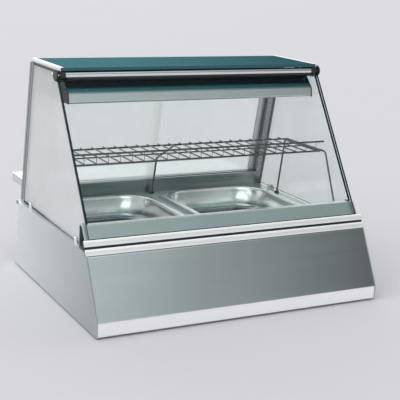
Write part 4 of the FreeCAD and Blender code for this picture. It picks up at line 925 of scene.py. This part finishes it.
def rack_recipe():
    """The welded rack: a bent frame wire, a middle wire, a raised rail and cross wires."""
    lengths = ("Half width", "Front", "Rear", "Level", "Rail rise", "Overhang", "Frame radius",
               "Cross radius", "Tail", "Pitch", "Corner bend")
    inputs = {label: (NUMBER, 0.01) for label in lengths}
    inputs["Count"] = (WHOLE, 2)
    inputs["Finish"] = (FINISH, None)
    r = Recipe("Wire rack", inputs)
    (half, front, rear, level, rise, overhang, thick, thin, tail, pitch,
     bend) = map(r.given, lengths)
    depth = r.maths("SUBTRACT", rear, front)
    middle = r.maths("MULTIPLY", r.maths("ADD", rear, front), 0.5)
    outline = r.node("GeometryNodeCurvePrimitiveQuadrilateral", None,
                     {"Width": r.maths("MULTIPLY", half, 2.0), "Height": depth})
    bent = r.node("GeometryNodeFilletCurve", {"mode": "POLY"},
                  {"Curve": outline, "Count": CORNER_STEPS, "Radius": bend, "Limit Radius": True})
    parts = [r.moved(r.tube(bent, thick, FRAME_SIDES), r.vector(0.0, middle, level))]
    rail_level = r.maths("ADD", level, rise)
    reach = r.maths("ADD", half, overhang)
    parts.append(r.tube(r.line(r.vector(r.maths("MULTIPLY", reach, -1.0), front, rail_level),
                               r.vector(reach, front, rail_level)), thick, FRAME_SIDES))
    under = r.maths("SUBTRACT", level, thick)
    parts.append(r.tube(r.line(r.vector(r.maths("MULTIPLY", half, -1.0), middle, under),
                               r.vector(half, middle, under)), thin, CROSS_SIDES))
    lift = r.maths("ADD", level, thick)
    ahead = r.maths("SUBTRACT", front, thick)
    start = r.vector(0.0, ahead, lift)
    along = r.tube(r.line(start, r.vector(0.0, r.maths("ADD", rear, tail), lift)), thin,
                   CROSS_SIDES)
    upright = r.tube(r.line(start, r.vector(0.0, ahead, rail_level)),
                     r.maths("MULTIPLY", thin, UPRIGHT_SHARE), CROSS_SIDES)
    elbow = r.moved(r.node("GeometryNodeMeshUVSphere", None,
                           {"Segments": CROSS_SIDES, "Rings": 6, "Radius": thin}), start)
    span = r.maths("MULTIPLY", pitch, r.maths("SUBTRACT", r.given("Count"), 1.0))
    first = r.vector(r.maths("MULTIPLY", span, -0.5), 0.0, 0.0)
    spots = r.row(r.given("Count"), first, r.vector(pitch, 0.0, 0.0))
    parts.append(r.copied(spots, r.joined([along, upright, elbow])))
    r.close(r.joined(parts), r.given("Finish"))
    return r


class CASE_OT_shelf(bpy.types.Operator):
    """Draw the wire shelf"""

    bl_idname = "case.shelf"
    bl_label = "Wire shelf"

    def execute(self, context):
        refine("shelf_legs", finishes["wire"], 0.0, degrees=40.0)
        stand("shelf_feet", "Shelf feet", SHELF_FOOT, FOOT_SIDES, "black")
        size = sizes()
        low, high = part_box("shelf_rack")
        count = int((high.x - low.x - RACK_ENDS) / size.wire_pitch) + 1
        front = low.y + size.frame_wire + size.cross_wire
        values = {
            "Half width": high.x - size.rail_overhang, "Front": front,
            "Rear": front + size.shelf_depth,
            "Level": high.z - size.frame_wire - size.rail_rise,
            "Rail rise": size.rail_rise, "Overhang": size.rail_overhang,
            "Frame radius": size.frame_wire, "Cross radius": size.cross_wire,
            "Tail": high.y - front - size.shelf_depth, "Pitch": size.wire_pitch,
            "Corner bend": CORNER_BEND, "Count": count, "Finish": finishes["wire"]}
        piece = grow("shelf_rack_welded", points_mesh("Rack", []), rack_recipe(), values)
        add(piece, node_body("shelf_rack"), ["shelf_rack"])
        return {"FINISHED"}


class CASE_OT_board(bpy.types.Operator):
    """Finish the serving board and its brackets"""

    bl_idname = "case.board"
    bl_label = "Serving board"

    def execute(self, context):
        refine("serving_board", finishes["steel_wide"])
        refine("board_brackets", finishes["steel_wide"])
        return {"FINISHED"}


DIAL_CENTRE = (235.0, 36.0)
DIAL_SWEEP = 270.0
DIAL_MARKS = 11
REAR_LEAN = 11.9
REAR_FOOT_Y = 603.5 - 380.594413
PLATE_FACE = 1.0
MARK_LENGTH = 1.8 * MM
MARK_WIDTH = 0.7 * MM
MARK_HEIGHT = 0.24 * MM


def on_rear(x, out, along):
    """A point on the leaning rear plane, in metres."""
    lean = math.radians(REAR_LEAN)
    y = REAR_FOOT_Y + out * math.cos(lean) - along * math.sin(lean)
    return Vector((x, y, out * math.sin(lean) + along * math.cos(lean))) * MM


def dial_marks():
    """Raised marks round the thermostat knob, seen from the serving side."""
    inputs = {"Ring": (NUMBER, 0.02), "Length": (NUMBER, 0.002), "Width": (NUMBER, 0.0008),
              "Height": (NUMBER, 0.0002), "Sweep": (NUMBER, 1.0), "Count": (WHOLE, 3),
              "Finish": (FINISH, None)}
    r = Recipe("Dial marks", inputs)
    count = r.given("Count")
    index = r.node("GeometryNodeInputIndex")
    share = r.maths("DIVIDE", index, r.maths("SUBTRACT", count, 1.0))
    turn = r.maths("MULTIPLY", r.maths("SUBTRACT", share, 0.5), r.given("Sweep"))
    ring = r.given("Ring")
    spot = r.vector(r.maths("MULTIPLY", ring, r.node("ShaderNodeMath", {"operation": "SINE"},
                                                     [turn])),
                    r.maths("MULTIPLY", ring, r.node("ShaderNodeMath", {"operation": "COSINE"},
                                                     [turn])), 0.0)
    line = r.row(count, (0.0, 0.0, 0.0), (0.001, 0.0, 0.0))
    spots = r.node("GeometryNodeSetPosition", None, {"Geometry": line, "Position": spot})
    bar = r.box(r.vector(r.given("Width"), r.given("Length"), r.given("Height")),
                (0.0, 0.0, 0.0))
    facing = r.node("FunctionNodeEulerToRotation", None,
                    {"Euler": r.vector(0.0, 0.0, r.maths("MULTIPLY", turn, -1.0))})
    r.close(r.copied(spots, bar, facing), r.given("Finish"))
    piece = grow("dial_marks", points_mesh("Dial", []), r, {
        "Ring": sizes().tick_ring, "Length": MARK_LENGTH, "Width": MARK_WIDTH,
        "Height": MARK_HEIGHT,
        "Sweep": math.radians(DIAL_SWEEP), "Count": DIAL_MARKS, "Finish": finishes["black"]})
    lean = math.radians(REAR_LEAN)
    turn = Matrix(((-1.0, 0.0, 0.0), (0.0, -math.sin(lean), math.cos(lean)),
                   (0.0, math.cos(lean), math.sin(lean)))).to_4x4()
    turn.translation = on_rear(DIAL_CENTRE[0], PLATE_FACE, DIAL_CENTRE[1])
    piece.data.transform(turn)
    add(piece, "case")


class CASE_OT_controls(bpy.types.Operator):
    """Finish the controls, the inlet and the drain"""

    bl_idname = "case.controls"
    bl_label = "Controls"

    def execute(self, context):
        for node, finish in (
                ("control_plate", "plate"), ("thermostat", "black"),
                ("thermostat_knob", "black"), ("switch_housings", "black"),
                ("light_switch_rocker", "red"), ("heat_switch_rocker", "red"),
                ("pilot_lamp", "amber"), ("cable_gland", "black"), ("drain_pipe", "brass"),
                ("drain_valve", "brass"), ("drain_lever", "grip")):
            refine(node, finishes[finish], CONTROL_ROUND)
        dial_marks()
        return {"FINISHED"}


class CASE_OT_fasteners(bpy.types.Operator):
    """Draw the screws"""

    bl_idname = "case.fasteners"
    bl_label = "Screws"

    def execute(self, context):
        seats = screw_seats()
        recipe = turned_recipe("Screw heads", SCREW_HEAD, SCREW_SIDES)
        mesh = points_mesh("Seats", [spot for spot, way in seats], [way for spot, way in seats])
        values = {"Radius": sizes().screw_head, "Height": span_of(SCREW_HEAD)[1] * MM,
                  "Finish": finishes["chrome"]}
        piece = grow("screws_turned", mesh, recipe, values)
        add(piece, node_body("screws"), ["screws"])
        return {"FINISHED"}


# ----------------------------------------------------------------------- stage
SENSOR = 36.0
LENS = 90.3159
FAR_CLIP = 200.0
CAMERA_TURN = 27.88
CAMERA_DROP = 13.92
CAMERA_ROLL = 2.49
CAMERA_SPOT = (-1.16004, -1.93577 - 0.380594, 0.84465)
FLOOR_REACH = 60.0
FLOOR_SIDES = 48
FLOOR_TONES = ((0.50, 0.487, 0.512, 1.0), (0.51, 0.497, 0.522, 1.0))
LIGHTS = (("Key light", (-1.6, -0.2, 1.7), 70.0, 1.5), ("Rear light", (0.3, 1.8, 1.2), 60.0, 0.9),
          ("Right light", (1.8, 0.4, 1.0), 50.0, 0.7), ("Low light", (-1.0, -2.0, 0.3), 50.0, 0.7))
SKY_STRENGTH = 1.0
SKY_BY_HEIGHT = (
    (0.0, (1.1, 1.1, 1.1)), (0.12, (1.0, 1.0, 1.0)), (0.26, (0.44, 0.50, 0.51)),
    (0.70, (0.42, 0.48, 0.49)), (0.86, (1.1, 1.1, 1.1)), (1.0, (1.1, 1.1, 1.1)))
SKY_BY_SIDE = (
    (0.0, (1.15, 1.15, 1.15)), (0.60, (1.1, 1.1, 1.1)), (0.70, (0.85, 0.85, 0.85)),
    (0.84, (0.28, 0.28, 0.28)), (1.0, (0.28, 0.28, 0.28)))


class CASE_OT_stage(bpy.types.Operator):
    """Set the floor, the light and the camera"""

    bl_idname = "case.stage"
    bl_label = "Stage"

    def execute(self, context):
        mesh = bpy.data.meshes.new("Floor")
        turns = [2 * math.pi * side / FLOOR_SIDES for side in range(FLOOR_SIDES)]
        ring = [(FLOOR_REACH * math.cos(turn), FLOOR_REACH * math.sin(turn), 0.0)
                for turn in turns]
        mesh.from_pydata(ring, [], [tuple(range(FLOOR_SIDES))])
        p = Paint("Pale floor")
        base = p.blend(p.noise(0.8, 2.0), *FLOOR_TONES)
        mesh.materials.append(p.finish(p.principled(Base_Color=base, Roughness=0.85)))
        floor = link("Floor", mesh)
        sky()
        for name, way, spread, strength in LIGHTS:
            soft_sun(name, way, spread, strength)
        context.scene.view_settings.view_transform = "Standard"
        camera_data = bpy.data.cameras.new("Camera")
        camera_data.sensor_width = SENSOR
        camera_data.lens = LENS
        camera_data.clip_end = FAR_CLIP
        camera = bpy.data.objects.new("Camera", camera_data)
        context.scene.collection.objects.link(camera)
        camera.matrix_world = camera_place()
        context.scene.camera = camera
        return {"FINISHED"}


def camera_place():
    """Where the camera stands and how it is turned."""
    turn, drop, roll = (math.radians(a) for a in (CAMERA_TURN, CAMERA_DROP, CAMERA_ROLL))
    ahead = Vector((math.sin(turn) * math.cos(drop), math.cos(turn) * math.cos(drop),
                    -math.sin(drop)))
    right = Vector((math.cos(turn), -math.sin(turn), 0.0))
    up = right.cross(ahead)
    right_rolled = right * math.cos(roll) + up * math.sin(roll)
    up_rolled = up * math.cos(roll) - right * math.sin(roll)
    place = Matrix((right_rolled, up_rolled, -ahead)).transposed().to_4x4()
    place.translation = Vector(CAMERA_SPOT)
    return place


def sky():
    """Soft light from all round, pale low down and overhead, and dimmer towards the right."""
    world = bpy.data.worlds.new("Studio")
    bpy.context.scene.world = world
    world.use_nodes = True
    tree = world.node_tree
    tree.nodes.clear()

    def ramp(stops, socket):
        made = tree.nodes.new("ShaderNodeValToRGB")
        while len(made.color_ramp.elements) < len(stops):
            made.color_ramp.elements.new(0.5)
        for element, (spot, colour) in zip(made.color_ramp.elements, stops):
            element.position = spot
            element.color = tuple(colour) + (1.0,)
        tree.links.new(socket, made.inputs[0])
        return made.outputs[0]

    place = tree.nodes.new("ShaderNodeTexCoord")
    split = tree.nodes.new("ShaderNodeSeparateXYZ")
    tree.links.new(place.outputs["Generated"], split.inputs[0])
    height = ramp(SKY_BY_HEIGHT, split.outputs["Z"])
    half = tree.nodes.new("ShaderNodeMath")
    half.operation = "MULTIPLY_ADD"
    tree.links.new(split.outputs["X"], half.inputs[0])
    half.inputs[1].default_value = 0.5
    half.inputs[2].default_value = 0.5
    across = ramp(SKY_BY_SIDE, half.outputs[0])
    mix = tree.nodes.new("ShaderNodeMix")
    mix.data_type = "RGBA"
    mix.blend_type = "MULTIPLY"
    mix.inputs[0].default_value = 1.0
    tree.links.new(height, mix.inputs[6])
    tree.links.new(across, mix.inputs[7])
    light = tree.nodes.new("ShaderNodeBackground")
    out = tree.nodes.new("ShaderNodeOutputWorld")
    tree.links.new(mix.outputs[2], light.inputs["Color"])
    light.inputs["Strength"].default_value = SKY_STRENGTH
    tree.links.new(light.outputs[0], out.inputs["Surface"])


def soft_sun(name, way, spread, strength):
    """Even soft light that comes from one way."""
    data = bpy.data.lights.new(name, "SUN")
    data.angle = math.radians(spread)
    data.energy = strength
    made = bpy.data.objects.new(name, data)
    bpy.context.scene.collection.objects.link(made)
    made.rotation_mode = "QUATERNION"
    made.rotation_quaternion = Vector(way).to_track_quat("Z", "Y")
    return made


class CASE_PT_panel(bpy.types.Panel):
    """The display case's sizes, colours and steps"""

    bl_label = "Display Case"
    bl_space_type = "VIEW_3D"
    bl_region_type = "UI"
    bl_category = "Display Case"

    def draw(self, context):
        for group in (context.scene.case_sizes, context.scene.case_colours):
            for name in group.bl_rna.properties.keys():
                if name not in ("rna_type", "name"):
                    self.layout.prop(group, name)
        for operator in STEPS:
            self.layout.operator(operator.bl_idname)


STEPS = (CASE_OT_finishes, CASE_OT_base, CASE_OT_pans, CASE_OT_glass, CASE_OT_hinge,
         CASE_OT_canopy, CASE_OT_shelf, CASE_OT_board, CASE_OT_controls, CASE_OT_fasteners,
         CASE_OT_stage)
CLASSES = (CaseSizes, CaseColours, CASE_PT_panel) + STEPS


def register():
    for kind in CLASSES:
        bpy.utils.register_class(kind)
    bpy.types.Scene.case_sizes = bpy.props.PointerProperty(type=CaseSizes)
    bpy.types.Scene.case_colours = bpy.props.PointerProperty(type=CaseColours)


def unregister():
    del bpy.types.Scene.case_colours
    del bpy.types.Scene.case_sizes
    for kind in reversed(CLASSES):
        bpy.utils.unregister_class(kind)


def main():
    register()
    for operator in STEPS:
        group, name = operator.bl_idname.split(".")
        getattr(getattr(bpy.ops, group), name)()


if __name__ == "__main__":
    main()
